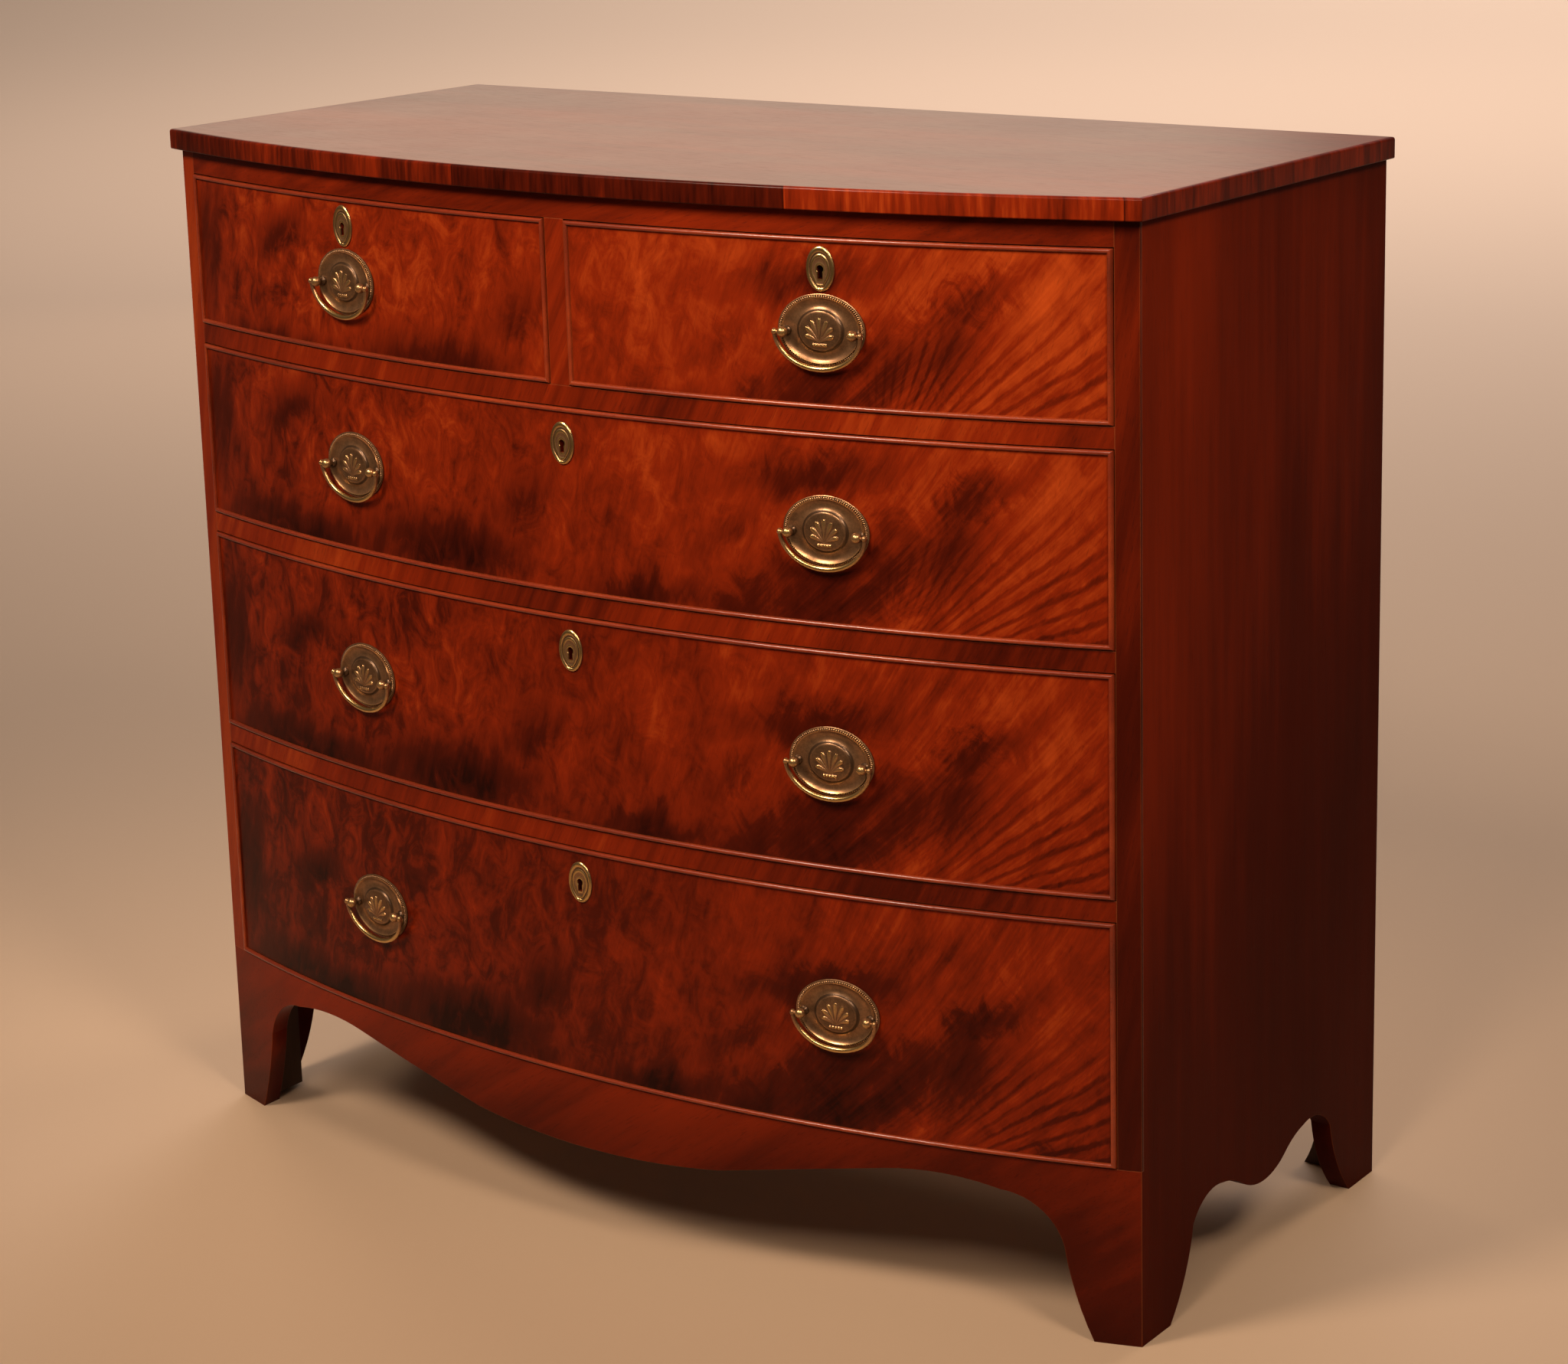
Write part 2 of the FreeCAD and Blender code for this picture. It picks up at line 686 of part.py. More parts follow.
short_middle = (post_half + inner_half) / 2
stops = []
for side in (-1, 1):
    for level in (lower_level, middle_level, upper_level):
        stops.append(make_stop(side * long_stop_offset, level))
    for step in (-short_stop_offset, short_stop_offset):
        stops.append(make_stop(side * (short_middle + step), short_level))
save("drawer_stops", *stops)

both = [-handle_offset, handle_offset]
long_sizes = (both, long_handle_drop, 0, long_key_drop)
make_drawer("lower_long", -inner_half, inner_half, lower_level, lower_opening, *long_sizes)
make_drawer("middle_long", -inner_half, inner_half, middle_level, middle_opening, *long_sizes)
make_drawer("upper_long", -inner_half, inner_half, upper_level, upper_opening, *long_sizes)
for name, x0, x1, x in (
    ("short_left", -inner_half, -post_half, -handle_offset),
    ("short_right", post_half, inner_half, handle_offset),
):
    make_drawer(name, x0, x1, short_level, short_opening, [x], short_handle_drop, x, short_key_drop)
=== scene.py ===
# %% [markdown]
# # A bow-front chest of drawers, dressed
# The packed CAD model is the frame: every board, drawer and joint already has its place there.
# This lesson adds what a cabinet maker's file, polish and brass foundry add: rounded beads, turned
# brass, grain, wear and light. All lengths are metres, and the front of the chest faces -Y.

# %% Load the frame
import json
import math

import bmesh
import bpy
import numpy as np
from mathutils import Matrix, Vector


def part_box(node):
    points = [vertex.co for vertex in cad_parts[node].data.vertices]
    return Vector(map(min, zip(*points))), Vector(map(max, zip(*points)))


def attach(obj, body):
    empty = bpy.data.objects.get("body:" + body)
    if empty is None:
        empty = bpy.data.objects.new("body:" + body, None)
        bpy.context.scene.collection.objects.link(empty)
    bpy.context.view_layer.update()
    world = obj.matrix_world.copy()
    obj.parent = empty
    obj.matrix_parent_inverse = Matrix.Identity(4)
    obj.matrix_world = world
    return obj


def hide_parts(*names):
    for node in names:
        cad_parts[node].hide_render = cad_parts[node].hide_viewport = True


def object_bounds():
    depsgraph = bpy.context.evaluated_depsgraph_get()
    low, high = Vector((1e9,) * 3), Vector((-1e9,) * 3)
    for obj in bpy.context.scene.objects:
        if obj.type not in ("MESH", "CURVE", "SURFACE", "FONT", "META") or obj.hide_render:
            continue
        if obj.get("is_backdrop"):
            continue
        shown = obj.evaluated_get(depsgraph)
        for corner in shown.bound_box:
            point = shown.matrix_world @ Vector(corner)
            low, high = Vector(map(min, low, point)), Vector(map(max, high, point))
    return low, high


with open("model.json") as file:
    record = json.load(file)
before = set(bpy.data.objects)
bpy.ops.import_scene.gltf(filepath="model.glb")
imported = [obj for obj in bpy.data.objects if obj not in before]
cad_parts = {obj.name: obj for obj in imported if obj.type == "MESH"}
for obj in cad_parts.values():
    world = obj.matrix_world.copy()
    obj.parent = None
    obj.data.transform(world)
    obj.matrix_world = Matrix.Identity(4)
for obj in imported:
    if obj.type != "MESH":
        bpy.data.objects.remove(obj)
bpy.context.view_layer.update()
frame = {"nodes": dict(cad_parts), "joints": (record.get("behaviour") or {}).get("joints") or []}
nodes = frame["nodes"]

# %% [markdown]
# ## The bow
# The front is a part of a large cylinder. Its radius could be typed in, but it is safer to read it
# from the frame: a chord and its rise give the radius, so the dressing follows the CAD model.

# %% The curve of the front
MM = 0.001
opening_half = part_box("drawer_runners")[1].x
crown_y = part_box("lower_rail")[0].y
bow_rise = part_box("stile_facings")[0].y - crown_y
bow_radius = (opening_half ** 2 + bow_rise ** 2) / (2 * bow_rise)
bow_axis_y = crown_y + bow_radius


def bow_y(x, out=0.0):
    """Y of the front at x, carried out of the chest by out: a circle of radius bow_radius + out."""
    return bow_axis_y - np.sqrt((bow_radius + out) ** 2 - x ** 2)


print("bow radius", round(bow_radius, 4), "axis at y", round(bow_axis_y, 4))

# %% [markdown]
# ## From formula to mesh
# Every new piece is one or more closed patches. Blender could sweep or spin them, but a grid of points
# worked out as whole numpy arrays shows its formula. Rows that close on themselves are joined, ends
# are capped, and a patch whose signed volume is negative is turned, so that all faces point outwards.

# %% Closed patches
def full_turn(count):
    """Angles once round, without the last, which is the first again."""
    return np.linspace(0, 2 * math.pi, count, endpoint=False)


def ring_patch(points, cap=None):
    """Quads over a grid (stations, ring points, 3): each ring is closed on itself.
    cap "ladder" joins opposite points of the first and the last ring, and "loop" joins the last ring
    to the first; with no cap the first and the last ring are poles, which make_piece welds."""
    stations, around = points.shape[:2]
    index = np.arange(stations * around).reshape(stations, around)
    rows = np.vstack([index, index[:1]]) if cap == "loop" else index
    quads = np.stack([rows[:-1], rows[1:], np.roll(rows[1:], -1, 1), np.roll(rows[:-1], -1, 1)], -1)
    quads = quads.reshape(-1, 4)
    if cap == "ladder":
        k = np.arange(around // 2 - 1)
        rungs = np.stack([k, k + 1, around - 2 - k, around - 1 - k], -1)
        quads = np.vstack([quads, index[0][rungs], index[-1][rungs[:, ::-1]]])
    flat = points.reshape(-1, 3)
    a, b, c, d = (flat[quads[:, i]] for i in range(4))
    volume = np.einsum("ij,ij->", a, np.cross(b, c)) + np.einsum("ij,ij->", a, np.cross(c, d))
    return flat, quads if volume > 0 else quads[:, ::-1]


print("quarter turns", full_turn(4).round(2))

# %% [markdown] ## One object for each piece The patches of a piece go into one mesh, whose points
# are welded at poles and seams.

# %% Pieces
WELD = 1e-6  # metres: points nearer than this become one


def add_object(name, data):
    """New object at the origin, linked to the scene."""
    made = bpy.data.objects.new(name, data)
    bpy.context.scene.collection.objects.link(made)
    return made


def make_piece(name, patches, body, stands_for, material, uv=None, rub=None, sharp=40):
    """One object from closed patches: keeps uv and rub of each point, welds poles and seams, and
    shades smooth below the sharp angle."""
    starts = np.cumsum([0] + [len(p) for p, _ in patches[:-1]])
    points = np.vstack([p for p, _ in patches])
    quads = np.vstack([q + s for (_, q), s in zip(patches, starts)])
    mesh = bpy.data.meshes.new(name)
    mesh.from_pydata(points.tolist(), [], quads.tolist())
    if uv is not None:
        layer = mesh.uv_layers.new(name="length_and_girth")
        layer.data.foreach_set("uv", uv[quads].astype(np.float32).ravel())
    if rub is not None:
        layer = mesh.attributes.new("rub", "FLOAT", "POINT")
        layer.data.foreach_set("value", rub.astype(np.float32))
    welded = bmesh.new()
    welded.from_mesh(mesh)
    bmesh.ops.remove_doubles(welded, verts=welded.verts, dist=WELD)
    welded.to_mesh(mesh)
    welded.free()
    mesh.shade_smooth()
    mesh.set_sharp_from_angle(angle=math.radians(sharp))
    mesh.materials.append(material)
    piece = add_object(name, mesh)
    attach(piece, body)
    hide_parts(*stands_for)
    print(name, len(mesh.polygons), "faces")


print("points weld within", WELD, "m")

# %% [markdown]
# ## Shader sums
# A pattern is a formula of place. Nodes can be linked one by one, but wrapping a socket in a small
# class lets Python's own operators add the Math nodes, so `1 - mask` or `height * 0.3 + grain` reads
# as it would on paper.

# %% A wire of a material
class Wire:
    """One socket in a material's tree; sums on wires add Math nodes."""

    def __init__(self, tree, socket=None):
        self.tree = tree
        self.socket = socket

    def node(self, kind, settings=(), inputs=(), output=0):
        """Adds a node: settings first, then the values or wires of its inputs."""
        made = self.tree.nodes.new(kind)
        for name, value in dict(settings).items():
            if name == "stops":
                ramp = made.color_ramp
                while len(ramp.elements) < len(value):
                    ramp.elements.new(1.0)
                for stop, (place, colour) in zip(ramp.elements, value):
                    stop.position = place
                    stop.color = (*colour, 1.0)
            else:
                setattr(made, name, value)
        for name, value in dict(inputs).items():
            if isinstance(value, Wire):
                self.tree.links.new(value.socket, made.inputs[name])
            else:
                made.inputs[name].default_value = value
        return Wire(self.tree, made.outputs[output])

    def math(self, operation, *values):
        """A Math node on the given values or wires."""
        return self.node("ShaderNodeMath", {"operation": operation}, dict(enumerate(values)))

    def __add__(self, other):
        return self.math("ADD", self, other)

    def __sub__(self, other):
        return self.math("SUBTRACT", self, other)

    def __rsub__(self, other):
        return self.math("SUBTRACT", other, self)

    def __mul__(self, other):
        return self.math("MULTIPLY", self, other)

    def __truediv__(self, other):
        return self.math("DIVIDE", self, other)

    __radd__ = __add__
    __rmul__ = __mul__

    def step(self, low, high):
        """0 below low, 1 above high, smooth between."""
        return self.node("ShaderNodeMapRange", {"interpolation_type": "SMOOTHSTEP"},
                         {"Value": self, "From Min": low, "From Max": high})

    def at_least(self, low):
        """This value, or low where it is less."""
        return self.math("MAXIMUM", self, low)

    def noise(self, scale, detail=3.0, roughness=0.5, distortion=0.0):
        """Cloudy noise on this vector, about 0 to 1 with its middle at 0.5."""
        inputs = {"Vector": self, "Scale": scale, "Detail": detail, "Roughness": roughness,
                  "Distortion": distortion}
        return self.node("ShaderNodeTexNoise", {}, inputs)

    def mapped(self, place=(0, 0, 0), turn=(0, 0, 0), scale=(1, 1, 1), kind="POINT"):
        """This vector moved, turned (degrees) and scaled by a Mapping node."""
        inputs = {"Vector": self, "Location": place, "Rotation": [math.radians(a) for a in turn],
                  "Scale": scale}
        return self.node("ShaderNodeMapping", {"vector_type": kind}, inputs)

    def ramp(self, *stops):
        """Colour by value, from stops of (place, colour)."""
        return self.node("ShaderNodeValToRGB", {"stops": stops}, {"Fac": self})

    def tint(self, other, factor, blend="MIX"):
        """This colour mixed with another by a factor."""
        return self.node("ShaderNodeMix", {"data_type": "RGBA", "blend_type": blend},
                         {0: factor, 6: self, 7: other}, output=2)


print("a wire can", [name for name in vars(Wire) if not name.startswith("_")])

# %% [markdown]
# ## Starting and closing a material
# Each finish begins with the place of the point in metres, ends in the same few sockets of the shader,
# and gets its fine relief from a Bump node. What is the same all over a surface, such as the coat of
# polish, is set straight on the socket.

# %% Material helpers
EDGE_SAMPLES = 6


def vector(tree, x, y, z):
    """A vector from three values or wires."""
    return Wire(tree).node("ShaderNodeCombineXYZ", {}, {"X": x, "Y": y, "Z": z})


def place_of(tree):
    """Object coordinates and their three parts."""
    place = Wire(tree).node("ShaderNodeTexCoord", output="Object")
    parts = [place.node("ShaderNodeSeparateXYZ", {}, {"Vector": place}, output=a) for a in "XYZ"]
    return place, *parts


def new_material(name, constants):
    """Empty material whose Principled shader has its constant sockets set."""
    material = bpy.data.materials.new(name)
    material.use_nodes = True
    shader = material.node_tree.nodes["Principled BSDF"]
    for socket, value in constants.items():
        shader.inputs[socket].default_value = value
    return material, material.node_tree, shader


def feed(tree, shader, **wires):
    """Links wires to the shader's sockets: Base_Color becomes Base Color."""
    for socket, wire in wires.items():
        tree.links.new(wire.socket, shader.inputs[socket.replace("_", " ")])


def bumped(height, distance, strength=1.0, ease=None):
    """Bump from a height wire; ease rounds the solid's own sharp edges to that radius."""
    inputs = {"Height": height, "Distance": distance, "Strength": strength}
    if ease:
        inputs["Normal"] = height.node("ShaderNodeBevel", {"samples": EDGE_SAMPLES}, {"Radius": ease})
    return height.node("ShaderNodeBump", {}, inputs)


print("edges are eased with", EDGE_SAMPLES, "samples")

# %% [markdown]
# ## Polished mahogany
# Plain mahogany is red-brown with long soft streaks along the grain, short dark pores, and a film of
# polish that is rubbed thin on the edges. A photograph of wood could be laid on, but it would stretch
# and repeat. Noise stretched along the grain gives the streaks, a finer and longer noise the pores, and
# the Bevel node finds the edges that wear lighter.

# %% Colours and polish
DARK = (0.012, 0.0014, 0.0006)
DEEP = (0.055, 0.0048, 0.0012)
WARM = (0.170, 0.0140, 0.0021)
LIGHT = (0.375, 0.0530, 0.0072)
EDGE = (0.420, 0.1200, 0.0350, 1.0)
FADED = (0.150, 0.0620, 0.0290, 1.0)
SATIN = 0.28  # old polish is no smoother: below this the denoiser leaves patches, as in a mirror
RED_BROWN = ((0.05, DARK), (0.35, DEEP), (0.62, WARM), (0.95, LIGHT))


def film(specular, coat, roughness):
    """Constant sockets of a film of polish."""
    return {"Specular IOR Level": specular, "Coat Weight": coat, "Coat Roughness": roughness,
            "Coat IOR": 1.5}


POLISH, DULL_POLISH = film(0.07, 0.05, 0.10), film(0.02, 0.01, 0.10)
BEAD_POLISH, DUSTY_POLISH = film(0.3, 0.34, 0.06), film(0.5, 0.4, 0.24)
print("mahogany runs through", len(RED_BROWN), "colours")

# %% Plain mahogany
BROAD, PORES = (1.5, 6, 6), (45, 900, 900)  # waves to the metre, along the grain and across it
STREAK_STRETCH = 0.05  # waves along the grain for each one across it
WORN_RADIUS, EASED_RADIUS, PORE_DEPTH = 1.2 * MM, 0.9 * MM, 0.08 * MM


def worn_edge(place, radius):
    """1 on sharp outer edges, 0 on flats: how far the Bevel node's normal turns from the true one."""
    eased = place.node("ShaderNodeBevel", {"samples": EDGE_SAMPLES}, {"Radius": radius})
    true = place.node("ShaderNodeNewGeometry", output="True Normal")
    facing = place.node("ShaderNodeVectorMath", {"operation": "DOT_PRODUCT"}, {0: eased, 1: true},
                        output="Value")
    return (1 - facing).step(0.02, 0.18)


def plain_mahogany(name, turn, shade=0.0, gloss=0.30, contrast=1.0, wear=0.45, polish=POLISH, lines=45,
                   light_slope=0.0, back_shade=0.0, floor_shade=0.0, floor_shade_height=0.25, fade=0.0):
    """Streaks run along the local X of a frame turned by the given degrees, lines to the metre across
    it; shade moves the tone. The three arguments after it paint light and shade: lighter to one end of
    the chest and darker to the other, darker towards the back, and darker near the floor up to a
    height. Fade bleaches it to brown as daylight does."""
    material, tree, shader = new_material(f"{name}_mahogany", polish)
    place, x, y, z = place_of(tree)
    grain = place.mapped(turn=turn)
    drift = grain.mapped(scale=BROAD).noise(1.0, 3)
    streak = grain.mapped(scale=(STREAK_STRETCH * lines, lines, lines)).noise(1.0, 4, 0.6)
    pore = grain.mapped(scale=PORES).noise(1.0, 2, 0.6).step(0.56, 0.72)
    tone = (drift - 0.5) * (1.1 * contrast) + (streak - 0.5) * (0.55 * contrast) + (0.52 + shade)
    # painted light and shade: lighter or darker along x, darker towards the back, darker near the floor
    tone = tone + x * light_slope - y * back_shade - (1 - z.step(0.0, floor_shade_height)) * floor_shade
    colour = tone.ramp(*RED_BROWN)
    if fade:
        colour = colour.tint(FADED, fade)
    colour = colour.tint((*DARK, 1.0), pore * 0.35)
    colour = colour.tint(EDGE, worn_edge(place, WORN_RADIUS) * wear * (streak + 0.2))
    smear = place.noise(7.0, 4, 0.6)
    feed(tree, shader, Base_Color=colour,
         Roughness=((smear - 0.5) * 0.22 + gloss + pore * 0.1).at_least(SATIN),
         Normal=bumped(streak * 0.5 - pore, PORE_DEPTH, 0.6, ease=EASED_RADIUS))
    return material


print("pores", PORE_DEPTH, "m deep, edges eased to", EASED_RADIUS, "m")

# %% [markdown]
# ## Boards and rails
# Each board has its own place in the chest: the side stands dull, with painted shade that deepens
# towards the back and near the floor; the top is bleached and dusty; the apron and the stiles are
# darkened near the floor as painted shade, and the stiles carry painted light on the left and painted
# shade on the right. Each rail is a stick of its own, so it has its own tone, and painted light and
# shade change that tone along it.

# %% Mahogany on the carcass
# painted light and shade: the side darker towards the back and near the floor, the stiles lighter on the
# left and darker on the right and low down, the apron darker near the floor
finishes = {
    "right_side": plain_mahogany("side", (0, 90, 0), shade=-0.05, gloss=0.40, contrast=0.38, lines=70,
                                 polish=DULL_POLISH, back_shade=0.40, floor_shade=0.17, floor_shade_height=0.85),
    "top_rail": plain_mahogany("top_rail", (0, 18, 0), shade=-0.03, contrast=0.8, lines=90),
    "stile_facings": plain_mahogany("stile", (0, 78, 0), shade=-0.02, contrast=0.8, light_slope=-0.32,
                                    floor_shade=0.10, floor_shade_height=0.6),
    "apron": plain_mahogany("apron", (0, 34, 0), shade=0.11, contrast=0.6, floor_shade=0.38),
    "top_board": plain_mahogany("top", (0, 0, 4), shade=0.06, contrast=0.7, polish=DUSTY_POLISH, fade=0.5)}
finishes["left_side"] = finishes["right_side"]
# tone of each rail, and how painted light and shade change the tone along the rail
RAILS = {"upper_rail": (0.01, 0.04), "middle_rail": (0.03, -0.22), "lower_rail": (0.00, -0.12),
         "short_drawer_divider": (0.04, 0.0)}
for rail, (tone, along) in RAILS.items():
    finishes[rail] = plain_mahogany(rail, (0, 62, 0), shade=tone, contrast=0.8, lines=120, light_slope=along)
for node, wood in finishes.items():
    nodes[node].data.materials[0] = wood
print("mahogany on", len(finishes), "nodes")

# %% [markdown]
# ## Flame veneer
# Each front wears a leaf cut from the fork of the trunk, and the leaves follow each other in the log,
# so the same flame comes back on every row: dark mottled clouds to the left and along the lower edge,
# a quiet red swirl in the middle, and on the right a fan of dark feathers on orange. The fan is noise
# in polar coordinates round a point below the drawer. The clouds are soft ellipses, whose edges are
# torn along the feathers by moving the coordinates with the same fine noise.

# %% Places of the figure
FAN_X, FAN_Z, FAN_BEND = -0.05, -0.15, 0.7  # where the fan springs from, and its bend per metre
SHELL_X, SHELL_Z, SHELL_LINES = 0.31, -0.045, 78  # the fine dark rays in the lower right corner
LEFT_RISE = 72  # degrees: the slant of the grain on the left
# middle x, middle height, half length, half width, rise in degrees, strength
CLOUDS = (
    (-0.49, 0.080, 0.130, 0.060, 85, 0.80),
    (-0.36, 0.122, 0.080, 0.035, 20, 0.75),
    (-0.37, 0.006, 0.190, 0.048, -2, 1.00),
    (-0.15, 0.020, 0.170, 0.055, 4, 1.00),
    (-0.05, 0.075, 0.070, 0.045, 35, 0.70),
    (0.08, 0.006, 0.130, 0.036, 6, 0.95),
    (0.17, 0.075, 0.100, 0.030, 40, 0.60),
    (0.27, 0.036, 0.210, 0.066, 22, 1.35),
    (0.25, 0.128, 0.150, 0.040, 8, 0.85),
    (0.40, 0.118, 0.100, 0.034, 32, 0.85),
    (0.47, 0.004, 0.130, 0.026, 12, 0.55),
)
FLAME = ((0.02, DARK), (0.30, DEEP), (0.58, WARM), (0.95, LIGHT))
print("the flame has", len(CLOUDS), "clouds")


# %% Flame veneer
def flame_veneer(name, level, leaf, shade):
    """Flame figure whose foot is at the height level; leaf shifts it a little between rows."""
    material, tree, shader = new_material(name, POLISH)
    place, x, _, z = place_of(tree)
    up = z - level
    flat = vector(tree, x, up, leaf * 0.03)
    east, north = x - FAN_X, up - FAN_Z
    square = east * east + north * north
    reach = square.math("SQRT", square)
    turn = north.math("ARCTAN2", north, east) - reach * FAN_BEND
    fan = vector(tree, turn, reach, leaf * 0.02)
    slant = flat.mapped(turn=(0, 0, -LEFT_RISE))
    wander = (flat.noise(6.0, 2) - 0.5) * 0.16
    east_side = (x + wander).step(0.05, 0.34)
    west_side = 1 - (x + wander).step(-0.32, 0.10)

    def feathers(across_fan, across_slant, along):
        """Noise drawn out along the fan on the right and along the slant on the left."""
        right = fan.mapped(scale=(across_fan, along, 1)).noise(1.0, 4, 0.62)
        left = slant.mapped(scale=(along, across_slant, 1)).noise(1.0, 4, 0.62)
        return left + (right - left) * east_side - 0.5

    streak, fine = feathers(36, 40, 8), feathers(140, 170, 18)
    mottle = vector(tree, x * 36, up * 24, leaf * 0.6).noise(1.0, 7, 0.70, 1.3) - 0.5
    bloom = slant.mapped(turn=(0, 0, 30), scale=(10, 17, 1)).noise(1.0, 5, 0.6, 0.6) - 0.5
    torn_place = vector(tree, x + streak * 0.08 + mottle * 0.05, up + streak * 0.05 - mottle * 0.05, 0.0)
    field = None
    for mid_x, mid_z, length, width, rise, strength in CLOUDS:
        local = torn_place.mapped((mid_x, mid_z, 0), (0, 0, rise), (length, width, 1), "TEXTURE")
        spot = local.node("ShaderNodeTexGradient", {"gradient_type": "SPHERICAL"}, {"Vector": local},
                          output="Fac") * strength
        field = spot if field is None else field.math("MAXIMUM", field, spot)
    dark = (field + mottle * (0.9 + west_side * 0.5) + streak * (0.3 + east_side * 0.9)).step(0.15, 0.90)
    tone = (0.535 + shade) - west_side * 0.03 + east_side * 0.11 - dark * 0.35
    tone = tone + mottle * (0.7 + west_side * 0.5 - east_side * 0.3) + streak * (0.2 + east_side * 0.36)
    tone = tone + fine * (0.2 + east_side * 0.16) + bloom * 0.6
    shell = north.math("ARCTAN2", up - SHELL_Z, x - SHELL_X) * SHELL_LINES + bloom * 6 + mottle * 1.5
    shell = shell.math("SINE", shell).step(0.1, 1.0) * (x + wander).step(0.32, 0.42) * (0.9 + bloom * 2)
    tone = tone - shell * (1 - up.step(0.05, 0.14)) * 0.20
    colour = tone.ramp(*FLAME)
    pore = slant.mapped(scale=(60, 900, 1)).noise(1.0, 2).step(0.58, 0.74)
    colour = colour.tint((*DARK, 1.0), pore * 0.25)
    colour = colour.tint(EDGE, worn_edge(place, 1.0 * MM) * 0.3)
    haze = place.noise(6.0, 4, 0.6)
    feed(tree, shader, Base_Color=colour,
         Roughness=((haze - 0.5) * 0.2 + 0.27 + pore * 0.08).at_least(SATIN),
         Normal=bumped(fine * 0.4 - pore, 0.06 * MM, 0.6))
    return material


# drawers, tone and cut of each row's leaf: the tone is painted shade, deeper row by row towards the floor,
# and the short leaves are cut a little higher in the log
ROWS = {"lower_long": (["lower_long"], -0.13, 0.0), "middle_long": (["middle_long"], -0.06, 0.0),
        "upper_long": (["upper_long"], -0.02, 0.0), "short": (["short_left", "short_right"], 0.03, -0.022)}
drawers = [drawer for members, _, _ in ROWS.values() for drawer in members]
for leaf, (row, (members, shade, cut)) in enumerate(ROWS.items()):
    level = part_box(f"{members[0]}_cockbeads")[0].z + cut
    veneer = flame_veneer(f"flame_veneer_{row}", level, leaf, shade)
    for drawer in members:
        nodes[f"{drawer}_front"].data.materials[0] = veneer
print("flame veneer on", len(drawers), "fronts")

# %% [markdown]
# ## Oak and pine inside
# Nobody polishes what nobody sees. The drawer boxes are oak, left from the plane, and the boards
# behind and below are pine, browned by age and dust; the pine of the foot blocks is painted far
# darker, as painted shade under the chest. Noise stretched along the board makes the straight
# grain, and a broad noise the stains.

# %% Secondary timbers
def bare_wood(name, turn, pale, dark, ring, board=None):
    """Straight grain along the local X of a turned frame, with stains and open pores. Where boards of
    one width stand side by side, each has its own tone and its own grain."""
    material, tree, shader = new_material(name, {"Specular IOR Level": 0.3})
    place, x, y, z = place_of(tree)
    tone = 0.55
    if board:
        count = x.math("FLOOR", x / board)
        place = vector(tree, x, y, z + count * 2.3)
        own = count.node("ShaderNodeTexWhiteNoise", {"noise_dimensions": "1D"}, {"W": count})
        tone = (own - 0.5) * 0.30 + tone
    grain = place.mapped(turn=turn)
    wander = grain.mapped(scale=(1.2, 5, 5)).noise(1.0, 2)
    bands = grain.mapped(scale=(0.8, ring, ring)).noise(1.0, 3, 0.65)
    pore = grain.mapped(scale=(40, 700, 700)).noise(1.0, 2).step(0.55, 0.75)
    stain = place.noise(4.0, 5, 0.6).step(0.45, 0.75)
    tone = (wander - 0.5) * 0.8 + (bands - 0.5) * 1.1 + tone - stain * 0.3
    colour = tone.ramp((0.1, dark), (0.9, pale)).tint((*dark, 1.0), pore * 0.45)
    feed(tree, shader, Base_Color=colour, Roughness=0.72 - bands * 0.15,
         Normal=bumped(bands * 0.6 - pore, 0.2 * MM, 0.7, ease=0.8 * MM))
    return material


OAK_PALE, OAK_DARK = (0.39, 0.200, 0.083), (0.13, 0.057, 0.022)
PINE_PALE, PINE_DARK = (0.38, 0.19, 0.075), (0.095, 0.042, 0.017)
# the foot blocks' pine is painted nearly black: painted shade where they stand under the chest
SHADED_FOOT_PALE, SHADED_FOOT_DARK = (0.085, 0.036, 0.016), (0.024, 0.011, 0.006)
OAK_RINGS, PINE_RINGS = 60, 38  # waves to the metre across the board
BACK_BOARDS = 6
back_low, back_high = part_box("back_boards")
drawer_oak = bare_wood("drawer_oak", (0, 0, 90), OAK_PALE, OAK_DARK, OAK_RINGS)
back_pine = bare_wood("back_pine", (0, 90, 0), PINE_PALE, PINE_DARK, PINE_RINGS,
                      board=(back_high.x - back_low.x) / BACK_BOARDS)
frame_pine = bare_wood("frame_pine", (0, 0, 90), PINE_PALE, PINE_DARK, PINE_RINGS)
shaded_foot_pine = bare_wood("shaded_foot_pine", (0, 90, 0), SHADED_FOOT_PALE, SHADED_FOOT_DARK, PINE_RINGS)
inner = {"drawer_stops": drawer_oak, "back_boards": back_pine, "drawer_runners": frame_pine,
         "dust_boards": frame_pine, "bottom_board": frame_pine, "foot_blocks": shaded_foot_pine}
inner.update({f"{drawer}_box": drawer_oak for drawer in drawers})
for node, wood in inner.items():
    nodes[node].data.materials[0] = wood
print("oak and pine on", len(inner), "nodes")

# %% [markdown]
# ## Old brass
# Brass that is handled stays gold where fingers rub it and turns rose-brown in its hollows. Painting
# that by hand would take long. Instead each brass piece carries an attribute, 0 in a hollow and 1 on a
# crest, worked out from its own formula, and the material mixes patina and metal by it, broken up by
# fine noise. The locks and bolts are never handled, so they are plain stained metal.

# %% Brass and steel
PATINA, ROSE_BRASS, BRIGHT_BRASS = (0.065, 0.033, 0.015), (0.330, 0.165, 0.075), (0.640, 0.420, 0.165)


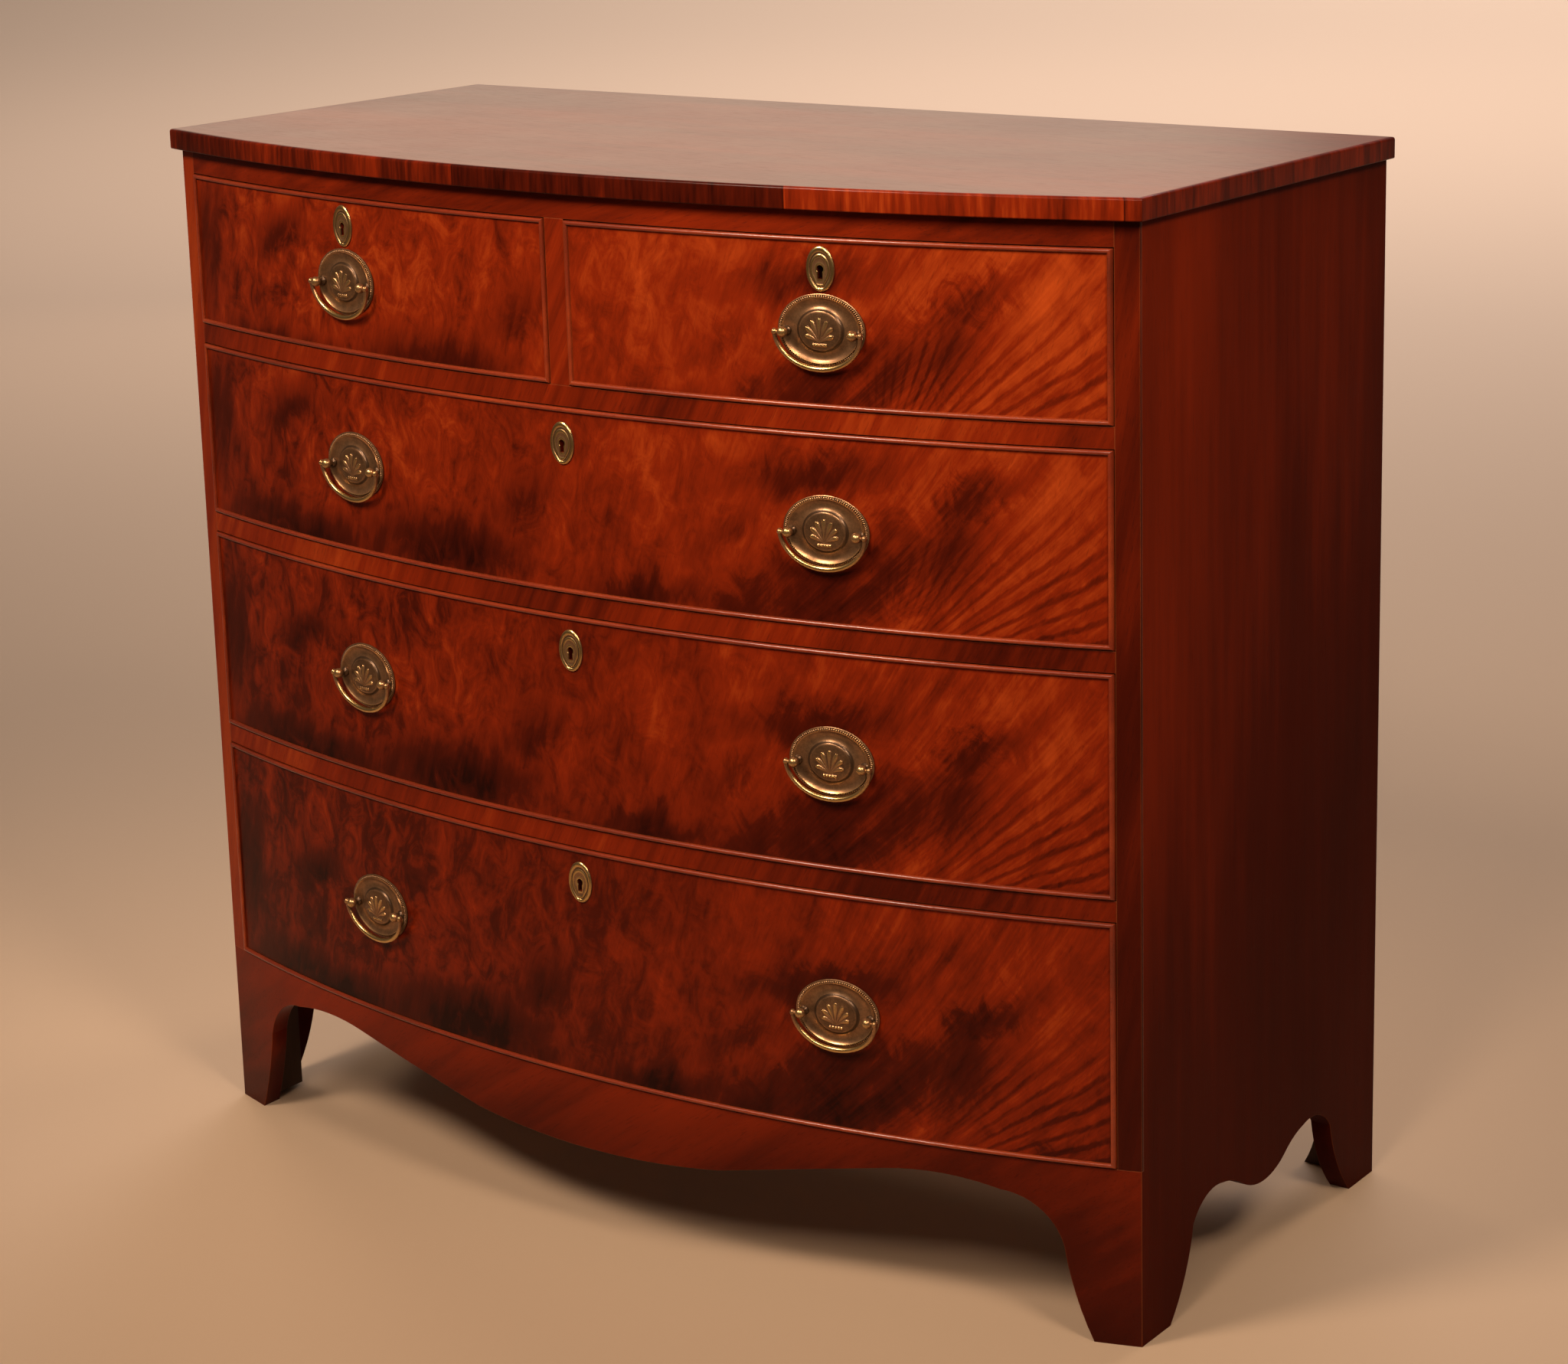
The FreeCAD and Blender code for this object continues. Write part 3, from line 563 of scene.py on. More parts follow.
def old_brass(name, shine):
    """Patina to bright metal by the piece's rub attribute; shine moves the balance."""
    material, tree, shader = new_material(name, {})
    place = place_of(tree)[0]
    rub = place.node("ShaderNodeAttribute", {"attribute_name": "rub"}, output="Fac")
    cloud = place.noise(90.0, 5, 0.65)
    fleck = place.noise(700.0, 2, 0.6)
    clean = (rub + (cloud - 0.5) * 0.55 + (fleck - 0.5) * 0.25 + shine).step(0.05, 1.0)
    colour = clean.ramp((0.0, PATINA), (0.45, ROSE_BRASS), (1.0, BRIGHT_BRASS))
    feed(tree, shader, Base_Color=colour, Metallic=clean * 0.35 + 0.65, Roughness=0.33 - clean * 0.08,
         Normal=bumped(cloud + fleck * 0.4, 0.12 * MM, 0.5))
    return material


def cast_metal(name, pale, dark, scale):
    """Plain metal with a drawn, slightly stained face."""
    material, tree, shader = new_material(name, {"Metallic": 1.0})
    place = place_of(tree)[0]
    cloud = place.noise(scale, 5, 0.65)
    scratch = place.mapped(scale=(30, 900, 900)).noise(1.0, 2)
    feed(tree, shader, Base_Color=cloud.ramp((0.3, dark), (0.7, pale)),
         Roughness=0.32 + cloud * 0.2 + scratch * 0.1,
         Normal=bumped(scratch, 0.03 * MM, 0.5, ease=0.3 * MM))
    return material


plate_brass = old_brass("plate_brass", 0.0)
bail_brass = old_brass("bail_brass", 0.12)
escutcheon_brass = old_brass("escutcheon_brass", 0.16)
lock_brass = cast_metal("lock_brass", (0.42, 0.28, 0.10), (0.20, 0.12, 0.045), 60)
bolt_steel = cast_metal("bolt_steel", (0.34, 0.33, 0.31), (0.12, 0.11, 0.10), 80)
for drawer in drawers:
    nodes[f"{drawer}_lock"].data.materials[0] = lock_brass
    nodes[f"{drawer}_lock_bolt"].data.materials[0] = bolt_steel
print("brass and steel on", len(drawers), "locks")

# %% [markdown]
# ## Cockbeads
# A cockbead is a thin strip let in round a drawer front, with a half-round nose that stands proud and
# guards the veneer. The four strips meet in mitres. One profile carried along each side does all:
# the mitre is a shift of the strip's ends that grows with the place across the strip. The level strips
# are as deep as the front, and the upper one is notched at its back to clear the lock.

# %% Cockbeads
BEAD_WIDTH, BEAD_SEAT, FRONT_DEPTH = 4 * MM, 10 * MM, 22 * MM
NOSE = BEAD_WIDTH / 2  # radius of the half round
NOSE_MIDDLE = 0.5 * MM  # how far its middle stands out of the face
LOCK_SEAT, LOCK_ROOM = 10.1 * MM, 0.3 * MM
TINY = 1e-9  # share of the strip's length: two stations so near are welded into one upright step
LEVEL_STATIONS, UPRIGHT_STATIONS = 65, 9
bead_wood = plain_mahogany("bead", (0, 12, 0), shade=0.10, gloss=0.20, contrast=0.7, wear=0.2,
                           polish=BEAD_POLISH, fade=0.12)


def bead_profile(level):
    """Across the strip, out of the face, and 1 where the mitre reaches: two walls and a half circle."""
    angle = np.linspace(math.pi, 0, 13)
    nose = np.stack([NOSE + NOSE * np.cos(angle), NOSE_MIDDLE + NOSE * np.sin(angle), 0 * angle + 1], -1)
    wall = np.array([[0, -FRONT_DEPTH, 0], [0, -BEAD_SEAT, 0], [0, -BEAD_SEAT, 1]])
    wall = wall if level else wall[-1:]
    return np.vstack([wall, nose, wall[::-1] + [BEAD_WIDTH, 0, 0]])


def bead(low, high, edge, inward, level, lock=None):
    """Strip from low to high along one axis: the profile's place is edge + inward * across, and its
    ends draw in by across where the mitre reaches. Level strips run in x, upright ones in z. Between
    the ends of a lock the back of the strip steps forward to the lock's seat."""
    across, out, mitre = bead_profile(level).T
    share = np.linspace(0, 1, LEVEL_STATIONS if level else UPRIGHT_STATIONS)
    if lock is not None:
        ends = (np.array(lock) - low) / (high - low)
        share = np.sort(np.concatenate([share, ends - TINY, ends + TINY]))
        notched = (share > ends[0]) & (share < ends[1])
        out = np.where(notched[:, None], np.maximum(out, -LOCK_SEAT), out)
    share = share[:, None]
    along = low + across * mitre + (high - low - 2 * across * mitre) * share
    side = edge + inward * across + 0 * along
    x, z = (along, side) if level else (side, along)
    return ring_patch(np.stack([x, bow_y(x, out), z], -1), "ladder")


for drawer in drawers:
    low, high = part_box(f"{drawer}_cockbeads")
    lock_low, lock_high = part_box(f"{drawer}_lock")
    lock = (lock_low.x - LOCK_ROOM, lock_high.x + LOCK_ROOM)
    strips = [bead(low.x, high.x, low.z, 1, True), bead(low.x, high.x, high.z, -1, True, lock),
              bead(low.z, high.z, low.x, 1, False), bead(low.z, high.z, high.x, -1, False)]
    make_piece(f"{drawer}_bead_strips", strips, f"{drawer}_drawer",
               [f"{drawer}_cockbeads"], bead_wood)

# %% [markdown]
# ## The lipping of the top
# The edge of the top is faced with short pieces whose grain stands upright, jointed end to end. The
# outline of the top is offset inwards by the profile's depth, so the corners mitre by themselves:
# at each depth the ends are straight lines and the front is a concentric arc.

# %% Shape of the lipping
LIP, UPPER_EASE, LOWER_EASE = 4 * MM, 2.6 * MM, 1.4 * MM
lip_low, lip_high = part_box("top_edge_lipping")


def lip_profile():
    """Depth in from the outline and height: two quarter rounds, closed by the joint with the board."""
    a = np.linspace(0, math.pi / 2, 7)
    upper = np.stack([UPPER_EASE * (1 - np.sin(a)), lip_high.z - UPPER_EASE * (1 - np.cos(a))], -1)
    lower = np.stack([LOWER_EASE * (1 - np.cos(a)), lip_low.z + LOWER_EASE * (1 - np.sin(a))], -1)
    return np.vstack([[[LIP, lip_high.z]], upper, lower, [[LIP, lip_low.z]]])


def lip_outline(depth):
    """Left end, front arc and right end of the top's plan, moved in by depth."""
    end = lip_high.x - depth
    out = crown_y - lip_low.y - depth
    corner = bow_y(end, out)
    run = np.linspace(0, 1, 13)[:, None]
    sweep = np.linspace(-1, 1, 81)[1:-1, None]
    left = np.stack([-end + 0 * run, lip_high.y + (corner - lip_high.y) * run], -1)
    front = np.stack([end * sweep, bow_y(end * sweep, out)], -1)
    return np.vstack([left, front, left[::-1] * [-1, 1]])


depth, height = lip_profile().T
plan = lip_outline(depth[None, :])
lip_points = np.concatenate([plan, np.broadcast_to(height[None, :, None], (*plan.shape[:2], 1))], -1)
outline = plan[:, np.argmin(depth)]
travel = np.concatenate([[0], np.cumsum(np.linalg.norm(np.diff(outline, axis=0), axis=1))])
girth = np.concatenate([[0], np.cumsum(np.hypot(np.diff(depth), np.diff(height)))])
lip_uv = np.stack(np.broadcast_arrays(travel[:, None], girth[None, :]), -1).reshape(-1, 2)
print("lipping runs", round(travel[-1], 3), "m round the top")

# %% Veneer of the lipping
# joints along the front, as x, and the tone of each length from the left end round to the right
LIP_JOINTS = (-0.537, -0.426, -0.107, 0.239, 0.537)
LIP_TONES = (0.40, 0.22, 0.43, 0.24, 0.61, 0.44)
front_run = np.abs(outline[:, 0]) < lip_high.x - WELD
joint_travel = np.interp(LIP_JOINTS, outline[front_run, 0], travel[front_run])


def lip_veneer():
    """Upright grain in six lengths: tone and grain change at every joint passed along the edge."""
    material, tree, shader = new_material("lip_mahogany", POLISH)
    uv = Wire(tree).node("ShaderNodeUVMap", {"uv_map": "length_and_girth"})
    along, across = (uv.node("ShaderNodeSeparateXYZ", {}, {"Vector": uv}, output=a) for a in "XY")
    base, length, joint = LIP_TONES[0], 0.0, 0.0
    for place, before, after in zip(joint_travel, LIP_TONES, LIP_TONES[1:]):
        passed = along.math("GREATER_THAN", along, float(place))
        base = passed * (after - before) + base
        length = passed + length
        gap = along - float(place)
        joint = (1 - gap.math("ABSOLUTE", gap).step(0.2 * MM, 1.0 * MM)) + joint
    grain = vector(tree, along * 190, across * 16, length * 3.7).noise(1.0, 4, 0.6)
    broad = vector(tree, along * 26, across * 6, length * 3.7).noise(1.0, 3)
    tone = base + (grain - 0.5) * 0.75 + (broad - 0.5) * 0.60
    colour = tone.ramp((0.05, DARK), (0.35, DEEP), (0.65, WARM), (0.95, LIGHT))
    colour = colour.tint((*DARK, 1.0), joint * 0.8)
    feed(tree, shader, Base_Color=colour, Roughness=((broad - 0.5) * 0.2 + 0.27).at_least(SATIN),
         Normal=bumped(grain * 0.4 - joint, 0.1 * MM, 0.7))
    return material


make_piece("top_lip", [ring_patch(lip_points, "ladder")], "carcass", ["top_edge_lipping"],
           lip_veneer(), uv=lip_uv)

# %% [markdown]
# ## The flower on a handle plate
# A common ornament of stamped brass is a honeysuckle flower: lobes in a fan over a small bar. It could
# be sculpted, but as a height over the plate's plane it is one formula, and the plate only adds it.

# %% Honeysuckle
FLOWER_FOOT = -10.0 * MM
LOBES_EACH_SIDE, LOBE_LENGTH, LOBE_LOSS, LOBE_HALF = 3, 21.0 * MM, 0.75 * MM, 2.9 * MM
LOBE_TURN, LOBE_SPREAD = 0.30, 0.08  # radians between lobes at the foot, and how many more at the tip
BAR_DROP, BAR_HALF, BAR_REACH = 1.8 * MM, 1.6 * MM, 6.5 * MM
NO_ZERO = 1e-6  # keeps a divisor from vanishing


def honeysuckle(u, v):
    """Round-ended lobes that spring from one foot over a small bar: the higher of their ridges. A lobe
    is a ray from the foot whose half width grows with the share along it and closes in a round end;
    its ridge is half an ellipse across. Lobe k from the middle is shorter by loss times k squared."""
    rho, lean = np.hypot(u, v - FLOWER_FOOT), np.arctan2(u, v - FLOWER_FOOT)
    relief = 0 * u
    for k in range(-LOBES_EACH_SIDE, LOBES_EACH_SIDE + 1):
        share = np.clip(rho / (LOBE_LENGTH - LOBE_LOSS * k * k), 0, 1)
        half = LOBE_HALF * share * np.sqrt(1 - share ** 7) + NO_ZERO
        aside = rho * np.sin(lean - k * (LOBE_TURN + LOBE_SPREAD * share))
        ridge = np.sqrt(np.clip(1 - (aside / half) ** 2, 0, None)) * (share < 1)
        relief = np.maximum(relief, ridge * (0.35 + 0.65 * share ** 2) * (np.abs(lean) < 1.6))
    bar = np.clip(1 - ((v - FLOWER_FOOT + BAR_DROP) / BAR_HALF) ** 2, 0, None) * (np.abs(u) < BAR_REACH)
    return np.maximum(relief, bar * (0.75 + 0.25 * np.cos(u / MM * 2.2)))


print("flower of", 2 * LOBES_EACH_SIDE + 1, "lobes")

# %% [markdown]
# ## Handle plates
# The plate is stamped from sheet brass: a rim, a hollow that runs round like a gutter, and a domed
# boss with the flower. It is one grid, angle by ring, where ring after ring shrinks from the rim's oval
# to the boss's and then to a point; a height formula does the rest. The milling of the rim is a ring
# of its own, because its ticks are finer than the grid.

# %% The stamped plate
RIM_A, RIM_B, PLATE_RISE = 40 * MM, 30.5 * MM, 1.5 * MM
BOSS_A, BOSS_B = 20.5 * MM, 17.5 * MM
RIM_SHARE = 0.22  # of the way from the edge to the boss
SHEET, RIM_ROLL, GUTTER_DEPTH = 0.9 * MM, 0.4 * MM, 2.2 * MM
GUTTER_MIDDLE, GUTTER_HALF = 0.64, 0.40  # shares of the same way
BOSS_STEP, BOSS_DOME, FLOWER_RELIEF = 1.4 * MM, 1.4 * MM, 1.3 * MM


def plate_patch():
    """Rings from the back of the rim to the middle: radii shrink with the share t, then with s over
    the boss. The height is a low rim, a fillet, a parabola for the gutter, and a dome.
    Returns bench points (right, up, out) and how much each is rubbed."""
    turn = full_turn(240)[None, :]
    field = np.linspace(0, 1, 41)
    dome = np.linspace(0, 1, 57)[1:]
    t = np.concatenate([field, 1 + 0 * dome])[:, None]
    s = np.concatenate([0 * field, dome])[:, None]
    a = (RIM_A + (BOSS_A - RIM_A) * t) * (1 - s)
    b = (RIM_B + (BOSS_B - RIM_B) * t) * (1 - s)
    u, v = a * np.cos(turn), b * np.sin(turn)
    rim = SHEET + RIM_ROLL * np.clip(t / 0.05, 0, 1)
    gutter = SHEET + GUTTER_DEPTH * ((t - GUTTER_MIDDLE) / GUTTER_HALF) ** 2
    out = np.where(t < RIM_SHARE, rim, gutter)
    boss = BOSS_STEP * (1 - np.exp(-s / 0.045)) + BOSS_DOME * (1 - (1 - s) ** 2)
    relief = honeysuckle(u, v) * (s > 0.04)
    out = out + boss + FLOWER_RELIEF * relief
    fillet = np.exp(-(((t - RIM_SHARE - 0.02) / 0.04) ** 2)) * (s == 0)
    hollow = np.exp(-((s / 0.05) ** 2)) * (t > 0.93)
    rub = 0.36 + 0.26 * fillet + 0.60 * relief - 0.35 * hollow - 0.10 * (s > 0.12)
    points = np.stack([u, v, out], -1)
    behind = np.stack([u[:1], v[:1], 0 * u[:1]], -1)
    points = np.concatenate([behind * 0, behind, points]) + [0, PLATE_RISE, 0]
    return points, np.concatenate([0 * rub[:2], rub])


plate, plate_rub = plate_patch()
print("plate grid", plate.shape[:2])

# %% Milling of the rim
TICKS, TICK_STATIONS = 110, 6
MILL_INSET, MILL_HALF, MILL_OUT, MILL_RISE = 2.4 * MM, 1.45 * MM, 1.25 * MM, 1.0 * MM


def rim_milling():
    """A ring round the rim whose girth swells at each tick: a closed, flattened tube."""
    turn = full_turn(TICKS * TICK_STATIONS)[:, None]
    girth = full_turn(8)[None, :]
    crest = np.abs(np.cos(turn * TICKS / 2))
    swell = 0.42 + 0.58 * crest
    aside = MILL_HALF * swell * np.cos(girth)
    u = (RIM_A - MILL_INSET + aside) * np.cos(turn)
    v = (RIM_B - MILL_INSET + aside) * np.sin(turn) + PLATE_RISE
    out = MILL_OUT + MILL_RISE * swell * np.sin(girth)
    rub = 0.65 * crest ** 2 * (np.sin(girth) > 0.1)
    return np.stack([u, v, out], -1), rub


milling, milling_rub = rim_milling()
print("milling grid", milling.shape[:2])

# %% [markdown]
# ## Posts and nuts
# Two turned posts with ball heads go through the front and are held by square nuts inside. A turned
# piece is a profile carried round its axis. The nut can be worked out in the same way: along each ray
# its radius is stretched until the circle becomes a square.

# %% Posts and nuts
POST_X, BALL_OUT, BALL = 32 * MM, 9.5 * MM, 4.6 * MM
TAIL = FRONT_DEPTH + 5.3 * MM  # how far the shank reaches in
# half width and reach of the nut in mm, from its inner face to the back of the drawer front
NUT = MM * np.array([(0, -25.4), (5.4, -25.4), (6, -24.9), (6, -22.3), (5.7, -22), (0, -22)])


def turned(profile, x, z=0.0, around=32, square=False):
    """Radius and reach carried round an axis out of the face at (x, z). For a square the radius along
    each ray is divided by the larger of cos and sin."""
    radius, out = np.array(profile, float).T[..., None]
    turn = full_turn(around)[None, :]
    if square:
        radius = radius / np.maximum(np.abs(np.cos(turn)), np.abs(np.sin(turn)))
    return np.stack([x + radius * np.cos(turn), z + radius * np.sin(turn), out + 0 * turn], -1)


def post_profile():
    """Collar, neck and ball head, and the shank that goes through the front, from the inner end out."""
    shank = [(0, -TAIL), (1.7 * MM, -TAIL), (2.1 * MM, 0.5 * MM - TAIL), (2.1 * MM, 0.6 * MM)]
    collar = [(4.3 * MM, 0.9 * MM), (4.5 * MM, 2.2 * MM), (4.0 * MM, 3.0 * MM), (3.0 * MM, 3.6 * MM)]
    angle = np.linspace(-math.pi / 2 + 0.70, math.pi / 2, 15)
    ball = np.stack([BALL * np.cos(angle), BALL_OUT + BALL * np.sin(angle)], -1)
    ball[-1, 0] = 0
    return np.vstack([shank, collar, [(2.7 * MM, 4.8 * MM)], ball])


print("post", len(post_profile()), "rings, nut", len(NUT), "rings")

# %% [markdown]
# ## Eight handles
# Every piece of brass is worked out once, flat on the bench, and then set on the bow at its own place.
# A handle's height is read from its bail in the frame, whose ends stand a little above the pivots.

# %% From the bench to the bow
HANDLE_X, BAIL_END_RISE = 0.265, 2.5 * MM


def on_front(bench, x, z):
    """Bench points (right, up, out) set on the bow at x and height z: right turns along the tangent."""
    lean_sin = x / bow_radius
    lean_cos = math.sqrt(1 - lean_sin ** 2)
    right, up, out = np.moveaxis(bench, -1, 0)
    return np.stack([x + right * lean_cos + out * lean_sin,
                     bow_y(x) + right * lean_sin - out * lean_cos, z + up], -1)


def brass_piece(name, parts, body, stands_for, material):
    """Piece from (points, rub, cap) parts, with the rub of each point kept as an attribute."""
    patches = [ring_patch(points, cap) for points, _, cap in parts]
    rub = np.concatenate([np.broadcast_to(rub, points.shape[:2]).ravel() for points, rub, _ in parts])
    make_piece(name, patches, body, stands_for, material, rub=rub, sharp=50)


print("handles lean", round(math.degrees(math.asin(HANDLE_X / bow_radius)), 2), "degrees")

# %% Handles on the drawers
handles = {}
for joint in frame["joints"]:
    if joint["name"].endswith("_swing"):
        bail = joint["name"][:-len("_swing")]
        low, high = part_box(bail)
        side = 1 if low.x + high.x > 0 else -1
        drawer = next(d for d in drawers if bail.startswith(d))
        handles[bail] = (drawer, side * HANDLE_X, high.z - BAIL_END_RISE)
for drawer in drawers:
    parts = []
    for owner, x, z in handles.values():
        if owner == drawer:
            parts.append((on_front(plate, x, z), plate_rub, None))
            parts.append((on_front(milling, x, z), milling_rub, "loop"))
            for post_x in (-POST_X, POST_X):
                post = turned(post_profile(), post_x)
                shine = np.clip((post[..., 2] - BALL) / BALL_OUT, 0, 1) * 0.6 + 0.1
                parts += [(on_front(post, x, z), shine, None),
                          (on_front(turned(NUT, post_x, square=True), x, z), 0.2, None)]
    brass_piece(f"{drawer}_stamped_plates", parts, f"{drawer}_drawer", [f"{drawer}_handle_plates"],
                plate_brass)

# %% [markdown]
# ## Bails
# The bail is a bent bar, thicker where the hand takes it. It ends in small eyes, and from each a pin goes
# into the ball of a post, where it turns. The bar's middle line is half an oval; a circle of changing
# radius is carried along it, in the plane across the path, and shrinks to nothing at both ends.

# %% Bails
BAIL_REACH, BAIL_DROP, BAIL_LEAN = 39.4 * MM, 30.4 * MM, 4.0 * MM
BAIL_THIN, BAIL_SWELL = 1.8 * MM, 0.7 * MM
BAIL_END = 0.05  # radians past the half oval, in which the bar closes
# radius and place of the pin from inside the ball outwards, in mm, and the eye's two half axes
PIN, EYE_RADIUS, EYE_HALF = ((0, 28.5), (1.5, 28.5), (1.5, 37.0)), 2.9 * MM, 2.2 * MM


def bail_bar():
    """Half oval (reach cos, -drop sin) that leans back to the plate by lean sin, and a circle across
    it, of radius thin + swell sin squared, with round ends."""
    turn = np.linspace(-BAIL_END, math.pi + BAIL_END, 73)[:, None]
    girth = full_turn(14)[None, :]
    ends = np.clip(np.minimum(turn + BAIL_END, math.pi + BAIL_END - turn) / BAIL_END, 0, 1)
    belly = np.clip(np.sin(turn), 0, 1)
    radius = (BAIL_THIN + BAIL_SWELL * belly ** 2) * np.sqrt(1 - (1 - ends) ** 2)
    middle = np.stack([BAIL_REACH * np.cos(turn), -BAIL_DROP * np.sin(turn)], -1)
    normal = np.stack([BAIL_DROP * np.cos(turn), -BAIL_REACH * np.sin(turn)], -1)
    normal = normal / np.linalg.norm(normal, axis=-1, keepdims=True)
    flat = middle + normal * (radius * np.cos(girth))[..., None]
    out = BALL_OUT - BAIL_LEAN * belly + radius * np.sin(girth)
    rub = 0.25 + 0.75 * belly ** 1.5 + 0 * girth
    return np.concatenate([flat, out[..., None]], -1), rub


def bail_pin(side):
    """Pin from inside the ball to the eye at the bail's end, with a small rounded eye: radius along x."""
    angle = np.linspace(-math.pi / 2, math.pi / 2, 11)
    eye = np.stack([EYE_RADIUS * np.cos(angle), BAIL_REACH + EYE_HALF * np.sin(angle)], -1)
    eye[-1, 0] = 0
    pin = np.array(PIN) * MM
    radius, x = np.vstack([pin, eye[eye[:, 0] > pin[-1, 0]], eye[-1:]]).T[..., None]
    turn = full_turn(16)[None, :]
    return np.stack([side * x + 0 * turn, radius * np.cos(turn), BALL_OUT + radius * np.sin(turn)], -1)


bar, bar_rub = bail_bar()
for bail, (drawer, x, z) in handles.items():
    parts = [(on_front(bar, x, z), bar_rub, None)]
    parts += [(on_front(bail_pin(side), x, z), 0.45, None) for side in (-1, 1)]
    brass_piece(f"{bail}_bar", parts, f"{bail}_body", [bail], bail_brass)

# %% [markdown]
# ## Keyhole plates
# An oval plate with a bevelled rim round a keyhole. Both outlines are star-shaped seen from the
# middle of the keyhole's round top, so one grid joins them: angle by share of the way from the oval
# to the keyhole, closed over the back.

# %% Keyhole plates
KEY_A, KEY_B = 13 * MM, 19 * MM
KEY_ROUND, KEY_SLOT, KEY_DROP = 3.2 * MM, 2.1 * MM, 8.5 * MM
# share of the way in, height in mm and rub: rim edge, bevel, flat rim, step, field, the hole's wall
KEY_PROFILE = (
    (0, 0, 0), (0, 0.8, 0.3), (0.03, 1.3, 0.7), (0.10, 1.9, 1.0), (0.17, 2.0, 1.0), (0.24, 1.9, 0.9),
    (0.30, 1.4, 0.4), (0.34, 1.0, 0.0), (0.40, 1.0, 0.0), (0.44, 1.5, 0.6), (0.50, 1.75, 1.0),
    (0.57, 1.6, 0.7), (0.63, 1.25, 0.2), (0.80, 1.2, 0.3), (0.93, 1.5, 0.7), (0.99, 1.45, 0.7),
    (1, 1.3, 0.5), (1, 0, 0))
HEAD_RADIUS, HEAD_DOME, HEAD_ROOT, HEAD_SHOULDER = 1.05 * MM, 0.75 * MM, 0.5 * MM, 1.2 * MM
HEAD_OFF = 16.4 * MM  # from the keyhole, up and down


def keyhole_ray(turn):
    """Distance from the round's middle to the keyhole's edge along each angle."""
    down = np.maximum(-np.sin(turn), NO_ZERO)
    aside = np.maximum(np.abs(np.cos(turn)), NO_ZERO)
    flare = KEY_SLOT * (0.9 + 0.25 * down)
    slot = np.where(np.sin(turn) < 0, np.minimum(KEY_DROP / down, flare / aside), 0)
    return np.maximum(KEY_ROUND, slot)


def keyhole_plate():
    """Oval + (hole - oval) * share along each ray, at the profile's height."""
    turn = full_turn(180)[None, :]
    share, out, rub = np.array(KEY_PROFILE).T[..., None]
    oval = np.stack([KEY_A * np.cos(turn), KEY_B * np.sin(turn)], -1)
    ray = keyhole_ray(turn)[..., None]
    hole = ray * np.stack([np.cos(turn), np.sin(turn)], -1)
    flat = oval + (hole - oval) * share[..., None]
    return np.concatenate([flat, (out * MM + 0 * turn)[..., None]], -1), rub + 0 * turn


def pin_head(z):
    """Small domed pin: quarter circle turned round its axis."""
    angle = np.linspace(0, math.pi / 2, 6)
    dome = np.stack([HEAD_RADIUS * np.cos(angle), HEAD_SHOULDER + HEAD_DOME * np.sin(angle)], -1)
    dome[-1, 0] = 0
    return turned(np.vstack([[(0, HEAD_ROOT), (HEAD_RADIUS, HEAD_ROOT)], dome]), 0, z, 14)


key_plate, key_rub = keyhole_plate()
for drawer in drawers:
    low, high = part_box(f"{drawer}_escutcheon")
    x, z = (low.x + high.x) / 2, (low.z + high.z) / 2
    x = 0.0 if abs(x) < 0.1 else math.copysign(HANDLE_X, x)
    parts = [(on_front(key_plate, x, z), key_rub, "loop")]
    parts += [(on_front(pin_head(up), x, z), 0.8, None) for up in (-HEAD_OFF, HEAD_OFF)]
    brass_piece(f"{drawer}_keyhole_plate", parts, f"{drawer}_drawer", [f"{drawer}_escutcheon"],
                escutcheon_brass)

# %% [markdown]
# ## Floor
# The floor is plain and pale, and so wide that its edge is far from view. It never bends, so one round
# face is enough.

# %% Floor
FLOOR_RADIUS, FLOOR_SIDES = 40.0, 96
ring = full_turn(FLOOR_SIDES)
floor_rim = FLOOR_RADIUS * np.stack([np.cos(ring), np.sin(ring), 0 * ring], -1)
floor_mesh = bpy.data.meshes.new("floor")
floor_mesh.from_pydata(floor_rim.tolist(), [], [list(range(FLOOR_SIDES))])
floor_paint = new_material("floor_paint", {"Base Color": (0.43, 0.30, 0.20, 1), "Roughness": 0.8})[0]
floor_mesh.materials.append(floor_paint)
floor = add_object("floor", floor_mesh)
floor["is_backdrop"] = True
print("floor of", FLOOR_RADIUS, "m radius")

# %% [markdown]
# ## Light
# Three warm soft boxes before the chest light its front, top and right side. A large glow behind it lies
# in the polish of the top, and two wide ones light the floor far back. Two weak lamps, kept out of the
# reflections, open the shadows at the back and on the left.

# %% Lamps
WARM_WHITE = (1.0, 0.80, 0.62)
